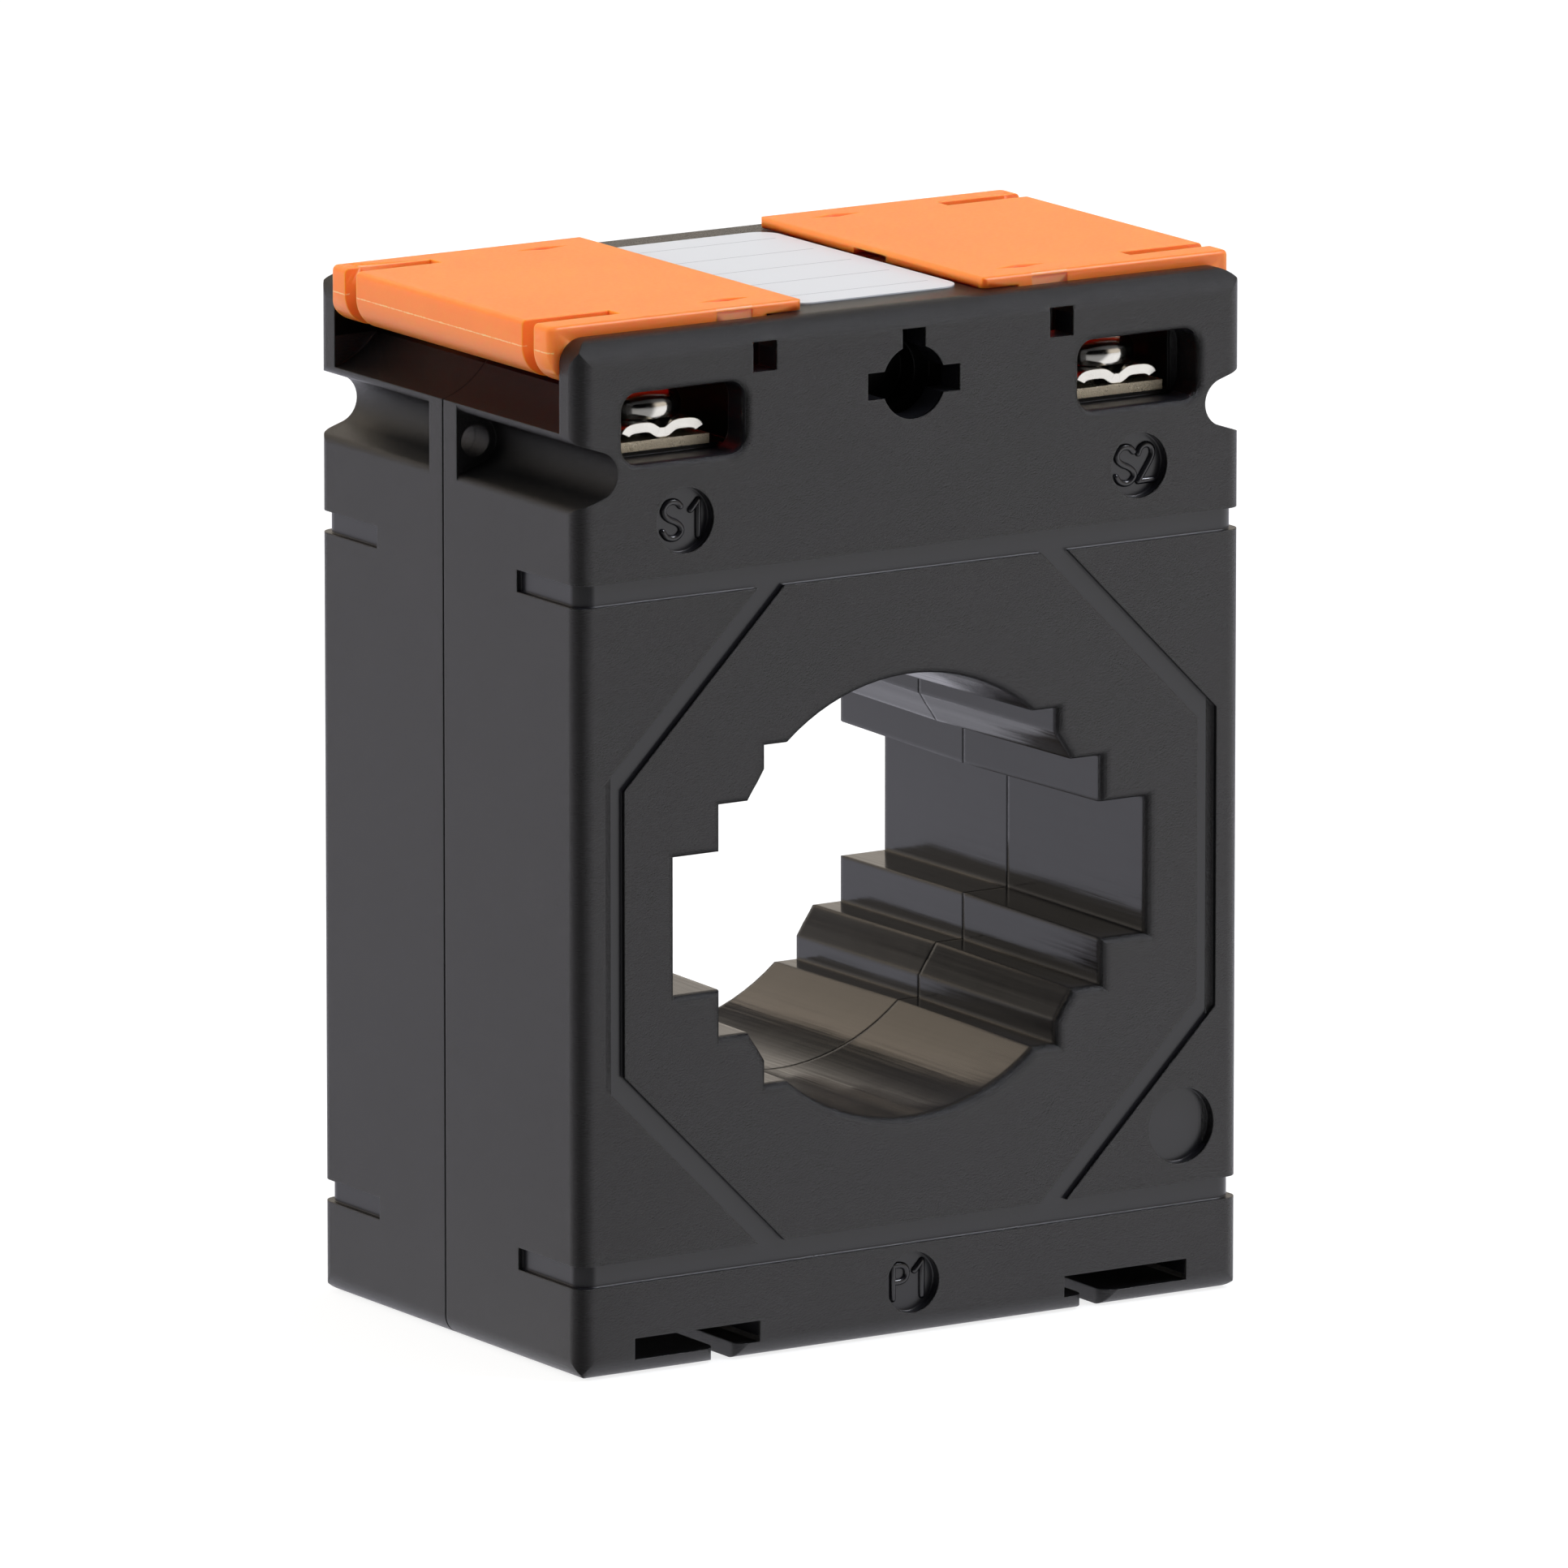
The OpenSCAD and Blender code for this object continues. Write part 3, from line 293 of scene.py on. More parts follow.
    # the window's steps are rounded more than the other edges
    easing = add(tree, "ShaderNodeMapRange", {"Value": window, "To Min": 0.16 * MM,
                                              "To Max": 0.45 * MM})
    eased = add(tree, "ShaderNodeBevel", {"Radius": easing}, samples=6)
    normal = add(tree, "ShaderNodeBump", {"Height": grain, "Strength": outside(tree, smooth),
                                          "Distance": 0.075 * MM, "Normal": eased})
    normal = add(tree, "ShaderNodeBump", {"Height": drag, "Strength": window,
                                          "Distance": 0.006 * MM, "Normal": normal})
    normal = add(tree, "ShaderNodeBump", {"Height": flow, "Strength": 0.5,
                                          "Distance": 0.05 * MM, "Normal": normal})
    normal = add(tree, "ShaderNodeBump", {"Height": either(tree, joint, weld), "Strength": 0.6,
                                          "Distance": 0.05 * MM, "Normal": normal}, invert=True)
    surface(tree, {"Base Color": colour, "Roughness": rough, "Normal": normal,
                   "Specular IOR Level": gloss, "IOR": 1.56})
    return mat


def polished_polycarbonate(looks):
    """The same black plastic from polished steel, for raised strokes: an even, soft shine."""
    mat, tree, where = blank_material("polished_polycarbonate")
    haze = add(tree, "ShaderNodeTexNoise", {"Vector": where, "Scale": 2.5, "Detail": 2.0})
    rough = add(tree, "ShaderNodeMapRange", {"Value": haze, "To Min": 0.2, "To Max": 0.3})
    shade = add(tree, "ShaderNodeMapRange", {"Value": haze, "To Min": 0.85, "To Max": 1.15})
    colour = add(tree, "ShaderNodeVectorMath", {0: linear(looks.band)[:3], "Scale": shade},
                 operation="SCALE")
    normal = add(tree, "ShaderNodeBump", {"Height": haze, "Strength": 0.4,
                                          "Distance": 0.01 * MM})
    surface(tree, {"Base Color": colour, "Roughness": rough, "Normal": normal, "IOR": 1.56})
    return mat


def translucent_orange_nylon(looks):
    """Orange moulded nylon: a satin skin, and light goes a little way in, so that thin places and
    edges glow. Its eased edges, the flat over the catch and the flash bead also have painted
    light, and its dimples painted shade."""
    mat, tree, where = blank_material("translucent_orange_nylon")
    ax, ay, _, _, z = distances(tree, where)
    # clouds of pigment 8 mm wide, and a skin of 0.3 mm ripples
    cloud = add(tree, "ShaderNodeTexNoise", {"Vector": where, "Scale": 0.12, "Detail": 3.0})
    skin = add(tree, "ShaderNodeTexNoise", {"Vector": where, "Scale": 3.2, "Detail": 4.0,
                                            "Roughness": 0.6})
    shade = add(tree, "ShaderNodeMapRange", {"Value": cloud, "From Min": 0.3, "From Max": 0.7,
                                             "To Min": 0.96, "To Max": 1.03})
    colour = add(tree, "ShaderNodeVectorMath", {0: linear(looks.base)[:3], "Scale": shade},
                 operation="SCALE")
    rough = add(tree, "ShaderNodeMapRange", {"Value": skin, "To Min": 0.34, "To Max": 0.46})

    # flash of the mould's parting, a fine bead of uneven width along the nose; its bump is real
    # relief, and its pale colour is a painted highlight
    chip = add(tree, "ShaderNodeTexNoise", {"Vector": where, "Scale": 4.0, "Detail": 3.0})
    wide = add(tree, "ShaderNodeMapRange", {"Value": chip, "From Min": 0.35, "From Max": 0.7,
                                            "To Min": 0.02, "To Max": 0.07})
    flash_bead_and_painted_highlight = add(tree, "ShaderNodeMath", {0: z, 1: FLASH_Z, 2: wide}, operation="COMPARE")
    flash_bead_and_painted_highlight = both(tree, flash_bead_and_painted_highlight, slab(tree, ax, *FLASH_X))
    colour = add(tree, "ShaderNodeMix", {0: flash_bead_and_painted_highlight, 6: colour, 7: linear("#FFC48C")},
                 data_type="RGBA")
    # painted light: the eased edges are painted more yellow than the faces, a painted glow for
    # light that gathers in them
    rounded = add(tree, "ShaderNodeBevel", {"Radius": 0.3 * MM}, samples=6)
    plain = add(tree, "ShaderNodeNewGeometry").outputs["Normal"]
    turned = add(tree, "ShaderNodeVectorMath", {0: rounded, 1: plain}, operation="DOT_PRODUCT")
    edge = add(tree, "ShaderNodeMapRange", {"Value": turned.outputs["Value"], "From Min": 0.99,
                                            "From Max": 0.8, "To Min": 0.0, "To Max": 0.9})
    colour = add(tree, "ShaderNodeMix", {0: edge, 6: colour.outputs[2], 7: linear("#FF9A1E")},
                 data_type="RGBA")
    # painted light: the shallow flat over the catch is painted paler, a painted glow for light
    # through its thin plastic
    flat = both(tree, slab(tree, ax, *FLAT_X), slab(tree, ay, *FLAT_Y), 0.35)
    colour = add(tree, "ShaderNodeMix", {0: flat, 6: colour.outputs[2], 7: linear("#FFD2B8")},
                 data_type="RGBA")
    # painted shade: the dimples are painted a deeper orange towards their floors
    dimple = both(tree, slab(tree, ax, *DIMPLE_X), slab(tree, ay, *DIMPLE_Y),
                  slab(tree, z, *DIMPLE_Z))
    painted_dimple_shade = add(tree, "ShaderNodeMapRange", {"Value": z, "From Min": DIMPLE_RIM,
                                            "From Max": DIMPLE_FLOOR, "To Min": 0.0,
                                            "To Max": 1.0})
    colour = add(tree, "ShaderNodeMix", {0: both(tree, dimple, painted_dimple_shade), 6: colour.outputs[2],
                                         7: linear("#DC4C12")}, data_type="RGBA")

    eased = add(tree, "ShaderNodeBevel", {"Radius": 0.2 * MM}, samples=6)
    normal = add(tree, "ShaderNodeBump", {"Height": skin, "Strength": 0.6,
                                          "Distance": 0.012 * MM, "Normal": eased})
    normal = add(tree, "ShaderNodeBump", {"Height": flash_bead_and_painted_highlight, "Strength": 0.7,
                                          "Distance": 0.04 * MM, "Normal": normal})
    surface(tree, {"Base Color": colour.outputs[2], "Roughness": rough, "Normal": normal,
                   "IOR": 1.53, "Subsurface Weight": 1.0,
                   "Subsurface Radius": (1.0, 0.32, 0.1), "Subsurface Scale": looks.depth})
    return mat


def polyester_label_film():
    """Silvery white polyester film: satin, with a few thin grey ruled lines."""
    mat, tree, where = blank_material("polyester_label_film")
    ax, ay, _, y, _ = distances(tree, where)
    # a line 0.12 mm wide every 5.2 mm, where the ping-pong comes back to 0
    row = add(tree, "ShaderNodeMath", {0: y, 1: 2.6}, operation="PINGPONG")
    line = both(tree, slab(tree, row, 0, 0.06), slab(tree, ax, 0, LABEL_X),
                slab(tree, ay, 0, LABEL_Y))
    fibre = add(tree, "ShaderNodeTexNoise", {"Vector": where, "Scale": 1.6, "Detail": 4.0})
    shade = add(tree, "ShaderNodeMapRange", {"Value": fibre, "To Min": 0.97, "To Max": 1.03})
    colour = add(tree, "ShaderNodeMix", {0: line, 6: linear("#D3D6DA"), 7: linear("#9A9DA3")},
                 data_type="RGBA")
    colour = add(tree, "ShaderNodeVectorMath", {0: colour.outputs[2], "Scale": shade},
                 operation="SCALE")
    rough = add(tree, "ShaderNodeMapRange", {"Value": fibre, "To Min": 0.3, "To Max": 0.42})
    normal = add(tree, "ShaderNodeBump", {"Height": fibre, "Strength": 0.3,
                                          "Distance": 0.01 * MM})
    surface(tree, {"Base Color": colour, "Roughness": rough, "Normal": normal})
    return mat


def plated_metal(name, tint, rough_low, rough_high, grain_mm, depth_mm):
    """Plated metal: a bright skin on stamped or turned metal, with its grain and dull patches."""
    mat, tree, where = blank_material(name)
    grain = add(tree, "ShaderNodeTexNoise", {"Vector": where, "Scale": 1 / grain_mm,
                                             "Detail": 4.0, "Roughness": 0.7})
    patch = add(tree, "ShaderNodeTexNoise", {"Vector": where, "Scale": 0.7, "Detail": 2.0})
    mixed = add(tree, "ShaderNodeMath", {0: grain, 1: patch}, operation="ADD")
    rough = add(tree, "ShaderNodeMapRange", {"Value": mixed, "From Min": 0.6, "From Max": 1.4,
                                             "To Min": rough_low, "To Max": rough_high})
    shade = add(tree, "ShaderNodeMapRange", {"Value": grain, "To Min": 0.86, "To Max": 1.08})
    colour = add(tree, "ShaderNodeVectorMath", {0: linear(tint)[:3], "Scale": shade},
                 operation="SCALE")
    eased = add(tree, "ShaderNodeBevel", {"Radius": 0.09 * MM}, samples=6)
    normal = add(tree, "ShaderNodeBump", {"Height": grain, "Strength": 0.7,
                                          "Distance": depth_mm * MM, "Normal": eased})
    surface(tree, {"Base Color": colour, "Roughness": rough, "Normal": normal, "Metallic": 1.0})
    return mat


def moulded_nylon():
    """Natural nylon of the core caps: creamy, slightly waxy."""
    mat, tree, where = blank_material("moulded_nylon")
    cloud = add(tree, "ShaderNodeTexNoise", {"Vector": where, "Scale": 0.5, "Detail": 3.0})
    colour = add(tree, "ShaderNodeMix", {0: cloud, 6: linear("#DAD4BC"), 7: linear("#E6E1CC")},
                 data_type="RGBA")
    eased = add(tree, "ShaderNodeBevel", {"Radius": 0.1 * MM}, samples=6)
    normal = add(tree, "ShaderNodeBump", {"Height": cloud, "Strength": 0.4,
                                          "Distance": 0.03 * MM, "Normal": eased})
    surface(tree, {"Base Color": colour.outputs[2], "Normal": normal, "Roughness": 0.4,
                   "Subsurface Weight": 0.3, "Subsurface Radius": (1.0, 0.8, 0.5),
                   "Subsurface Scale": 0.001})
    return mat


def wound_silicon_steel():
    """Core wound from silicon steel strip: grey, with the edges of the strip as fine rings, drawn
    0.6 mm apart so that they show."""
    mat, tree, where = blank_material("wound_silicon_steel")
    from_axis = add(tree, "ShaderNodeVectorMath", {0: where, 1: (0.0, 0.0, -WINDOW_Z)},
                    operation="ADD")
    flat = add(tree, "ShaderNodeVectorMath", {0: from_axis, 1: (1.0, 0.0, 1.0)},
               operation="MULTIPLY")
    radius = add(tree, "ShaderNodeVectorMath", {0: flat}, operation="LENGTH")
    turn = add(tree, "ShaderNodeMath", {0: radius.outputs["Value"], 1: 0.3},
               operation="PINGPONG")
    stain = add(tree, "ShaderNodeTexNoise", {"Vector": where, "Scale": 0.8, "Detail": 4.0})
    colour = add(tree, "ShaderNodeMix", {0: stain, 6: linear("#6E7075"), 7: linear("#8C8E92")},
                 data_type="RGBA")
    rough = add(tree, "ShaderNodeMapRange", {"Value": stain, "To Min": 0.35, "To Max": 0.55})
    normal = add(tree, "ShaderNodeBump", {"Height": turn, "Strength": 0.8,
                                          "Distance": 0.08 * MM})
    surface(tree, {"Base Color": colour.outputs[2], "Roughness": rough, "Normal": normal,
                   "Metallic": 0.9})
    return mat


def enamelled_copper():
    """Copper wire under brown enamel: warm metal with a clear glossy coat."""
    mat, tree, where = blank_material("enamelled_copper")
    tone = add(tree, "ShaderNodeTexNoise", {"Vector": where, "Scale": 1.2, "Detail": 3.0})
    colour = add(tree, "ShaderNodeMix", {0: tone, 6: linear("#8E4A22"), 7: linear("#B86A34")},
                 data_type="RGBA")
    normal = add(tree, "ShaderNodeBump", {"Height": tone, "Strength": 0.3,
                                          "Distance": 0.02 * MM})
    surface(tree, {"Base Color": colour.outputs[2], "Normal": normal, "Metallic": 0.85,
                   "Roughness": 0.3, "Coat Weight": 0.6})
    return mat


def polyester_tape():
    """Yellow polyester tape wound over the coil: glossy film, with an edge about every 1.3 mm."""
    mat, tree, where = blank_material("polyester_tape")
    lap = add(tree, "ShaderNodeTexWave", {"Vector": where, "Scale": 0.25, "Distortion": 1.5},
              wave_profile="SAW").outputs["Fac"]
    colour = add(tree, "ShaderNodeMix", {0: lap, 6: linear("#D9B23E"), 7: linear("#E8CB6A")},
                 data_type="RGBA")
    rough = add(tree, "ShaderNodeMapRange", {"Value": lap, "To Min": 0.18, "To Max": 0.3})
    normal = add(tree, "ShaderNodeBump", {"Height": lap, "Strength": 0.6,
                                          "Distance": 0.05 * MM})
    surface(tree, {"Base Color": colour.outputs[2], "Roughness": rough, "Normal": normal})
    return mat


def extruded_sleeving(name, slit_and_painted_shade, light):
    """Soft extruded sleeving on a lead: matt, faintly ribbed along its length."""
    mat, tree, where = blank_material(name)
    along = add(tree, "ShaderNodeMapping", {"Vector": where, "Scale": (5.0, 5.0, 0.3)})
    rib = add(tree, "ShaderNodeTexNoise", {"Vector": along, "Scale": 1.0, "Detail": 2.0})
    colour = add(tree, "ShaderNodeMix", {0: rib, 6: linear(slit_and_painted_shade), 7: linear(light)},
                 data_type="RGBA")
    normal = add(tree, "ShaderNodeBump", {"Height": rib, "Strength": 0.5,
                                          "Distance": 0.03 * MM})
    surface(tree, {"Base Color": colour.outputs[2], "Normal": normal, "Roughness": 0.55})
    return mat


# Helpers for meshes

def eased_line(points):
    """Points along a smooth curve through the given ones. Two points stay as they are."""
    held = [Vector(p) for p in points]
    if len(held) == 2:
        return held
    held = [2 * held[0] - held[1], *held, 2 * held[-1] - held[-2]]
    made = []
    steps = 6
    for a, b, c, d in zip(held, held[1:], held[2:], held[3:]):
        for t in (i / steps for i in range(steps)):
            made.append(0.5 * (2 * b + (c - a) * t + (2 * a - 5 * b + 4 * c - d) * t * t
                               + (3 * b - a - 3 * c + d) * t ** 3))
    return made + [held[-2]]


def skin(mesh, rings):
    """Adds the faces from each ring of points to the next."""
    for one, two in zip(rings, rings[1:]):
        for k in range(len(one)):
            j = (k + 1) % len(one)
            mesh.faces.new((one[k], one[j], two[j], two[k]))


def closed_skin(mesh, rings):
    """Adds the faces between rings of points, and one face over each end."""
    skin(mesh, rings)
    mesh.faces.new(rings[0][::-1])
    mesh.faces.new(rings[-1])


def angles(count):
    """Angles evenly round a circle."""
    return [2 * math.pi * k / count for k in range(count)]


def mesh_piece(name, mesh, mat, body, nodes=(), crease=180):
    """Makes a smooth-shaded object of a bmesh, split at edges sharper than crease degrees. It
    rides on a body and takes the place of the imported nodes."""
    data = bpy.data.meshes.new(name)
    mesh.to_mesh(data)
    mesh.free()
    for face in data.polygons:
        face.use_smooth = True
    if crease < 180:
        data.set_sharp_from_angle(angle=math.radians(crease))
    obj = bpy.data.objects.new(name, data)
    bpy.context.scene.collection.objects.link(obj)
    obj.data.materials.append(mat)
    if nodes:
        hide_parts(*nodes)
    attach(obj, body)
    return obj


def join(obj, mesh):
    """Joins a closed bmesh to obj, and keeps the result as obj's own mesh."""
    data = bpy.data.meshes.new("tool")
    mesh.to_mesh(data)
    mesh.free()
    tool = bpy.data.objects.new("tool", data)
    bpy.context.scene.collection.objects.link(tool)
    step = obj.modifiers.new("join", "BOOLEAN")
    step.operation, step.solver, step.object = "UNION", "EXACT", tool
    result = obj.evaluated_get(bpy.context.evaluated_depsgraph_get())
    made = bpy.data.meshes.new_from_object(result)
    obj.modifiers.remove(step)
    obj.data = made
    bpy.data.objects.remove(tool)


# Raised marks

# Middle lines of the strokes in millimetres, from the middle of the mark: right and up
STROKES = {
    "S": [[(0.72, 0.98), (0.42, 1.27), (0.0, 1.37), (-0.45, 1.24), (-0.74, 0.86), (-0.66, 0.42),
           (-0.25, 0.08), (0.3, -0.18), (0.7, -0.52), (0.78, -0.9), (0.45, -1.26), (0.0, -1.37),
           (-0.5, -1.2), (-0.82, -0.8)]],
    "1": [[(-0.55, 0.62), (0.1, 1.3)], [(0.1, 1.3), (0.1, -1.33)]],
    "2": [[(-0.62, 0.75), (-0.45, 1.15), (0.0, 1.36), (0.45, 1.2), (0.62, 0.72), (0.42, 0.2),
           (-0.15, -0.65), (-0.62, -1.33)], [(-0.62, -1.33), (0.66, -1.33)]],
    "P": [[(-0.6, -1.25), (-0.6, 1.25)],
          [(-0.6, 1.25), (0.05, 1.25), (0.48, 1.05), (0.62, 0.62), (0.48, 0.2), (0.05, 0.0),
           (-0.6, 0.0)]],
}


def add_stroke(mesh, points, radius, to_face):
    """Adds a round bar with domed ends along flat points, which to_face sets on the face."""
    dome = [(math.sin(a), math.cos(a)) for a in (math.radians(x) for x in (80, 55, 28))]
    start = (points[0] - points[1]).normalized()
    end = (points[-1] - points[-2]).normalized()
    path = [(points[0] + start * s * radius, c) for s, c in dome]
    path += [(p, 1.0) for p in points]
    path += [(points[-1] + end * s * radius, c) for s, c in reversed(dome)]
    rings = []
    for i, (p, size) in enumerate(path):
        ahead = path[min(i + 1, len(path) - 1)][0] - path[max(i - 1, 0)][0]
        across = Vector((-ahead.y, ahead.x)).normalized()
        r = radius * size
        rings.append([mesh.verts.new(to_face(p + across * (math.cos(a) * r), math.sin(a) * r))
                      for a in angles(12)])
    closed_skin(mesh, rings)


def raised_mark(name, glyphs, shell, centre, facing, radius, mat):
    """Strokes on the floor of a mark disc. facing is -1 on the front face and 1 on the rear."""
    start = Vector((centre[0] * MM, facing * 0.03, centre[1] * MM))
    hit, floor, _, _ = NODES[shell].ray_cast(start, Vector((0, -facing, 0)))
    if not hit:
        raise RuntimeError(f"{name} has no face under it")

    def to_face(flat, out):
        """Where a flat point of the mark stands on the disc's floor."""
        return start.x - facing * flat.x, floor.y + facing * out, start.z + flat.y

    mesh = bmesh.new()
    for glyph, shift in glyphs:
        for line in STROKES[glyph]:
            points = [(p + Vector(shift)) * MM for p in eased_line(line)]
            add_stroke(mesh, points, radius, to_face)
    bmesh.ops.recalc_face_normals(mesh, faces=mesh.faces)
    return mesh_piece(name, mesh, mat, "housing")


# Screws, clamps and covers

def cross_recess(x, y, top):
    """Height of a screw head's top at x, y after the cross recess is pressed in."""
    arm_turn, arm, deepest = 0.45, 1.75, -1.5
    lowest = top
    for turn in (arm_turn, arm_turn + math.pi / 2):
        along = abs(x * math.cos(turn) + y * math.sin(turn))
        across = abs(-x * math.sin(turn) + y * math.cos(turn))
        half = 0.42 + 0.16 * max(0.0, 1 - along / 1.9)
        wall, ramp = (across - half) * 5.0, (along - arm) * 1.9
        lowest = min(lowest, top + min(0.0, max(wall, ramp, deepest)))
    return lowest


def pan_head_screw(name, node, mat):
    """A pan head screw with a cross recess and its thread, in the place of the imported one."""
    low, high = (Vector(corner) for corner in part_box(node))
    x, y = (low.x + high.x) / 2, (low.y + high.y) / 2
    seat, end = high.z / MM - HEAD_H, low.z / MM
    round_angles = angles(96)
    mesh = bmesh.new()
    rings = []
    for r, h in reversed(HEAD_RIM + HEAD_CROWN):
        ring = []
        for a in round_angles:
            px, py = r * math.cos(a), r * math.sin(a)
            up = cross_recess(px, py, h) if r < 2.2 else h
            ring.append(mesh.verts.new((x + px * MM, y + py * MM, (seat + up) * MM)))
        rings.append(ring)
    # one turn of the thread climbs by the pitch, and the screw's end is cut to a cone
    steps = 80
    for i in range(steps + 1):
        h = seat - (seat - end) * i / steps
        ring = []
        for a in round_angles:
            turn = (h / PITCH - a / (2 * math.pi)) % 1.0
            r = CORE_R + THREAD_H * min(1.0, max(0.0, 1.5 - abs(turn - 0.5) * 4))
            r = min(r, 1.5 + 1.2 * (h - end))
            ring.append(mesh.verts.new((x + r * math.cos(a) * MM, y + r * math.sin(a) * MM,
                                        h * MM)))
        rings.append(ring)
    closed_skin(mesh, rings)
    bmesh.ops.recalc_face_normals(mesh, faces=mesh.faces)
    return mesh_piece(name, mesh, mat, node, (node,), 50)


def gull_clamp(name, node, mat):
    """A pressed clamp washer with two rounded wings and a groove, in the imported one's place."""
    low, high = (Vector(corner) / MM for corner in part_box(node))
    x, y = (low.x + high.x) / 2, (low.y + high.y) / 2
    half_x, half_y = (high.x - low.x) / 2, (high.y - low.y) / 2
    wing = eased_line(WING)

    def sheet(across, side):
        """Point of the sheet at a signed share of its half width, on top (1) or below (-1)."""
        place = min(abs(across), 1.0) * (len(wing) - 1)
        i = min(int(place), len(wing) - 2)
        along = wing[i + 1] - wing[i]
        point = wing[i] + along * (place - i)
        if i == 0:
            along = Vector((1.0, 0.0))
        normal = Vector((-along.y, along.x)).normalized()
        point = point + normal * (side * SHEET_T / 2)
        sign = 1 if across >= 0 else -1
        return sign * min(max(point.x, 0.0), half_x), min(max(point.y, 0.0), high.z - low.z)

    steps, tiny = 40, 1e-6
    mesh = bmesh.new()
    rings = []
    for side in (1, -1):
        layer = []
        for t in (j / steps for j in range(steps + 1)):
            ring = []
            for a in angles(128):
                c, d = math.cos(a), math.sin(a)
                edge = min(half_x / max(abs(c), tiny), half_y / max(abs(d), tiny))
                r = SHEET_HOLE_R + (edge - SHEET_HOLE_R) * t
                across, height = sheet(r * c / half_x, side)
                ring.append(mesh.verts.new(((x + across) * MM, (y + r * d) * MM,
                                            (low.z + height) * MM)))
            layer.append(ring)
        rings += layer[::side]
    skin(mesh, rings + rings[:1])
    bmesh.ops.recalc_face_normals(mesh, faces=mesh.faces)
    return mesh_piece(name, mesh, mat, node, (node,), 35)


def loft(mesh, sections):
    """Adds a closed bar along Y through sections, each a y and its x, z points."""
    first = sections[0][1]
    area = sum(a[0] * b[1] - b[0] * a[1] for a, b in zip(first, first[1:] + first[:1]))
    if area * (sections[-1][0] - sections[0][0]) > 0:
        sections = [(y, points[::-1]) for y, points in sections]
    closed_skin(mesh, [[mesh.verts.new((x, y, z)) for x, z in points] for y, points in sections])


def sharpened_cover(name, node, mat):
    """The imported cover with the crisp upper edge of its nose."""
    low, high = (Vector(corner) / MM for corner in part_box(node))
    side = -1 if low.x < 0 else 1
    outer, top = (low.x if side < 0 else high.x), high.z
    mesh = bmesh.new()
    mesh.from_mesh(NODES[node].data)
    bmesh.ops.remove_doubles(mesh, verts=mesh.verts, dist=1e-7)
    # joined in millimetres, as a union in metres loses the smallest faces
    bmesh.ops.scale(mesh, vec=(1 / MM,) * 3, verts=mesh.verts)
    obj = mesh_piece(name, mesh, mat, node, (node,))
    # what fills the wide rounding up to the small one, as distances in from the end and the top
    arc = [(CRISP_R * (1 - math.sin(a)), CRISP_R * (1 - math.cos(a)))
           for a in (math.radians(90 * i / 8) for i in range(9))]
    section = [(NOSE_R, 0.0), *arc, (0.0, NOSE_R), (1.0, NOSE_R + 0.3), (NOSE_R + 0.3, 1.0)]

    def moved(y):
        """The section at y, drawn in where the cover's corner and side edge are rounded off."""
        past_corner = max(0.0, abs(y) - (COVER_HALF - CORNER_R))
        past_edge = max(0.0, abs(y) - (COVER_HALF - EDGE_R))
        inward = CORNER_R - math.sqrt(CORNER_R ** 2 - past_corner ** 2)
        down = EDGE_R - math.sqrt(EDGE_R ** 2 - past_edge ** 2)
        return y, [(outer - side * (u + inward), top - v - down) for u, v in section]

    ends = [COVER_HALF - CORNER_R + CORNER_R * math.sin(math.radians(a))
            for a in range(0, 85, 12)]
    edges = bmesh.new()
    loft(edges, [moved(-SLOT_IN), moved(SLOT_IN)])
    loft(edges, [moved(y) for y in (SLOT_OUT, *ends)])
    loft(edges, [moved(-y) for y in (SLOT_OUT, *ends)])
    join(obj, edges)
    obj.data.transform(Matrix.Scale(MM, 4))
    obj.data.set_sharp_from_angle(angle=math.radians(32))
    obj.modifiers.new("even_shading", "WEIGHTED_NORMAL").keep_sharp = True
    return obj


# Operators

class FinishHousing(bpy.types.Operator):
    """Gives both shells their textured and smooth plastic"""
    bl_idname = "transformer.finish_housing"
    bl_label = "Finish housing"

    def execute(self, context):
        mat = spark_textured_polycarbonate(context.scene.housing_looks)
        for name in ("front_shell", "rear_shell"):
            dress(NODES[name], mat)
        return {"FINISHED"}


class RaiseMarks(bpy.types.Operator):
    """Stands the terminal marks on the floors of their discs"""
    bl_idname = "transformer.raise_marks"
    bl_label = "Raise marks"

    def execute(self, context):
        radius = context.scene.mark_looks.stroke
        mat = polished_polycarbonate(context.scene.housing_looks)
        x, z = SECONDARY_DISC
        # each character and its shift from the middle of the disc
        secondary = (("s1", [("S", (-0.68, -0.04)), ("1", (1.45, -0.04))], -x),
                     ("s2", [("S", (-0.78, -0.04)), ("2", (1.0, 0.0))], x))
        for shell, facing, face in (("front_shell", -1, "front"), ("rear_shell", 1, "rear")):
            for name, glyphs, at in secondary:
                raised_mark(f"{name}_{face}_mark", glyphs, shell, (at, z), facing, radius, mat)
        first = [("P", (-0.7, 0.0)), ("1", (1.15, 0.08))]
        other = [("P", (-0.75, 0.0)), ("2", (0.95, 0.0))]
        raised_mark("p1_mark", first, "front_shell", PRIMARY_DISC, -1, radius, mat)
        raised_mark("p2_mark", other, "rear_shell", PRIMARY_DISC, 1, radius, mat)
        return {"FINISHED"}


class FinishCovers(bpy.types.Operator):
    """Gives the hinged covers their crisp noses and orange plastic"""
    bl_idname = "transformer.finish_covers"
    bl_label = "Finish covers"

    def execute(self, context):
        mat = translucent_orange_nylon(context.scene.cover_looks)
        for name in ("left_cover", "right_cover"):
            sharpened_cover(f"{name}_shell", name, mat)
        return {"FINISHED"}


class FinishLabel(bpy.types.Operator):
    """Gives the rating label its film"""
    bl_idname = "transformer.finish_label"
    bl_label = "Finish label"

    def execute(self, context):
        dress(NODES["rating_label"], polyester_label_film())
        return {"FINISHED"}


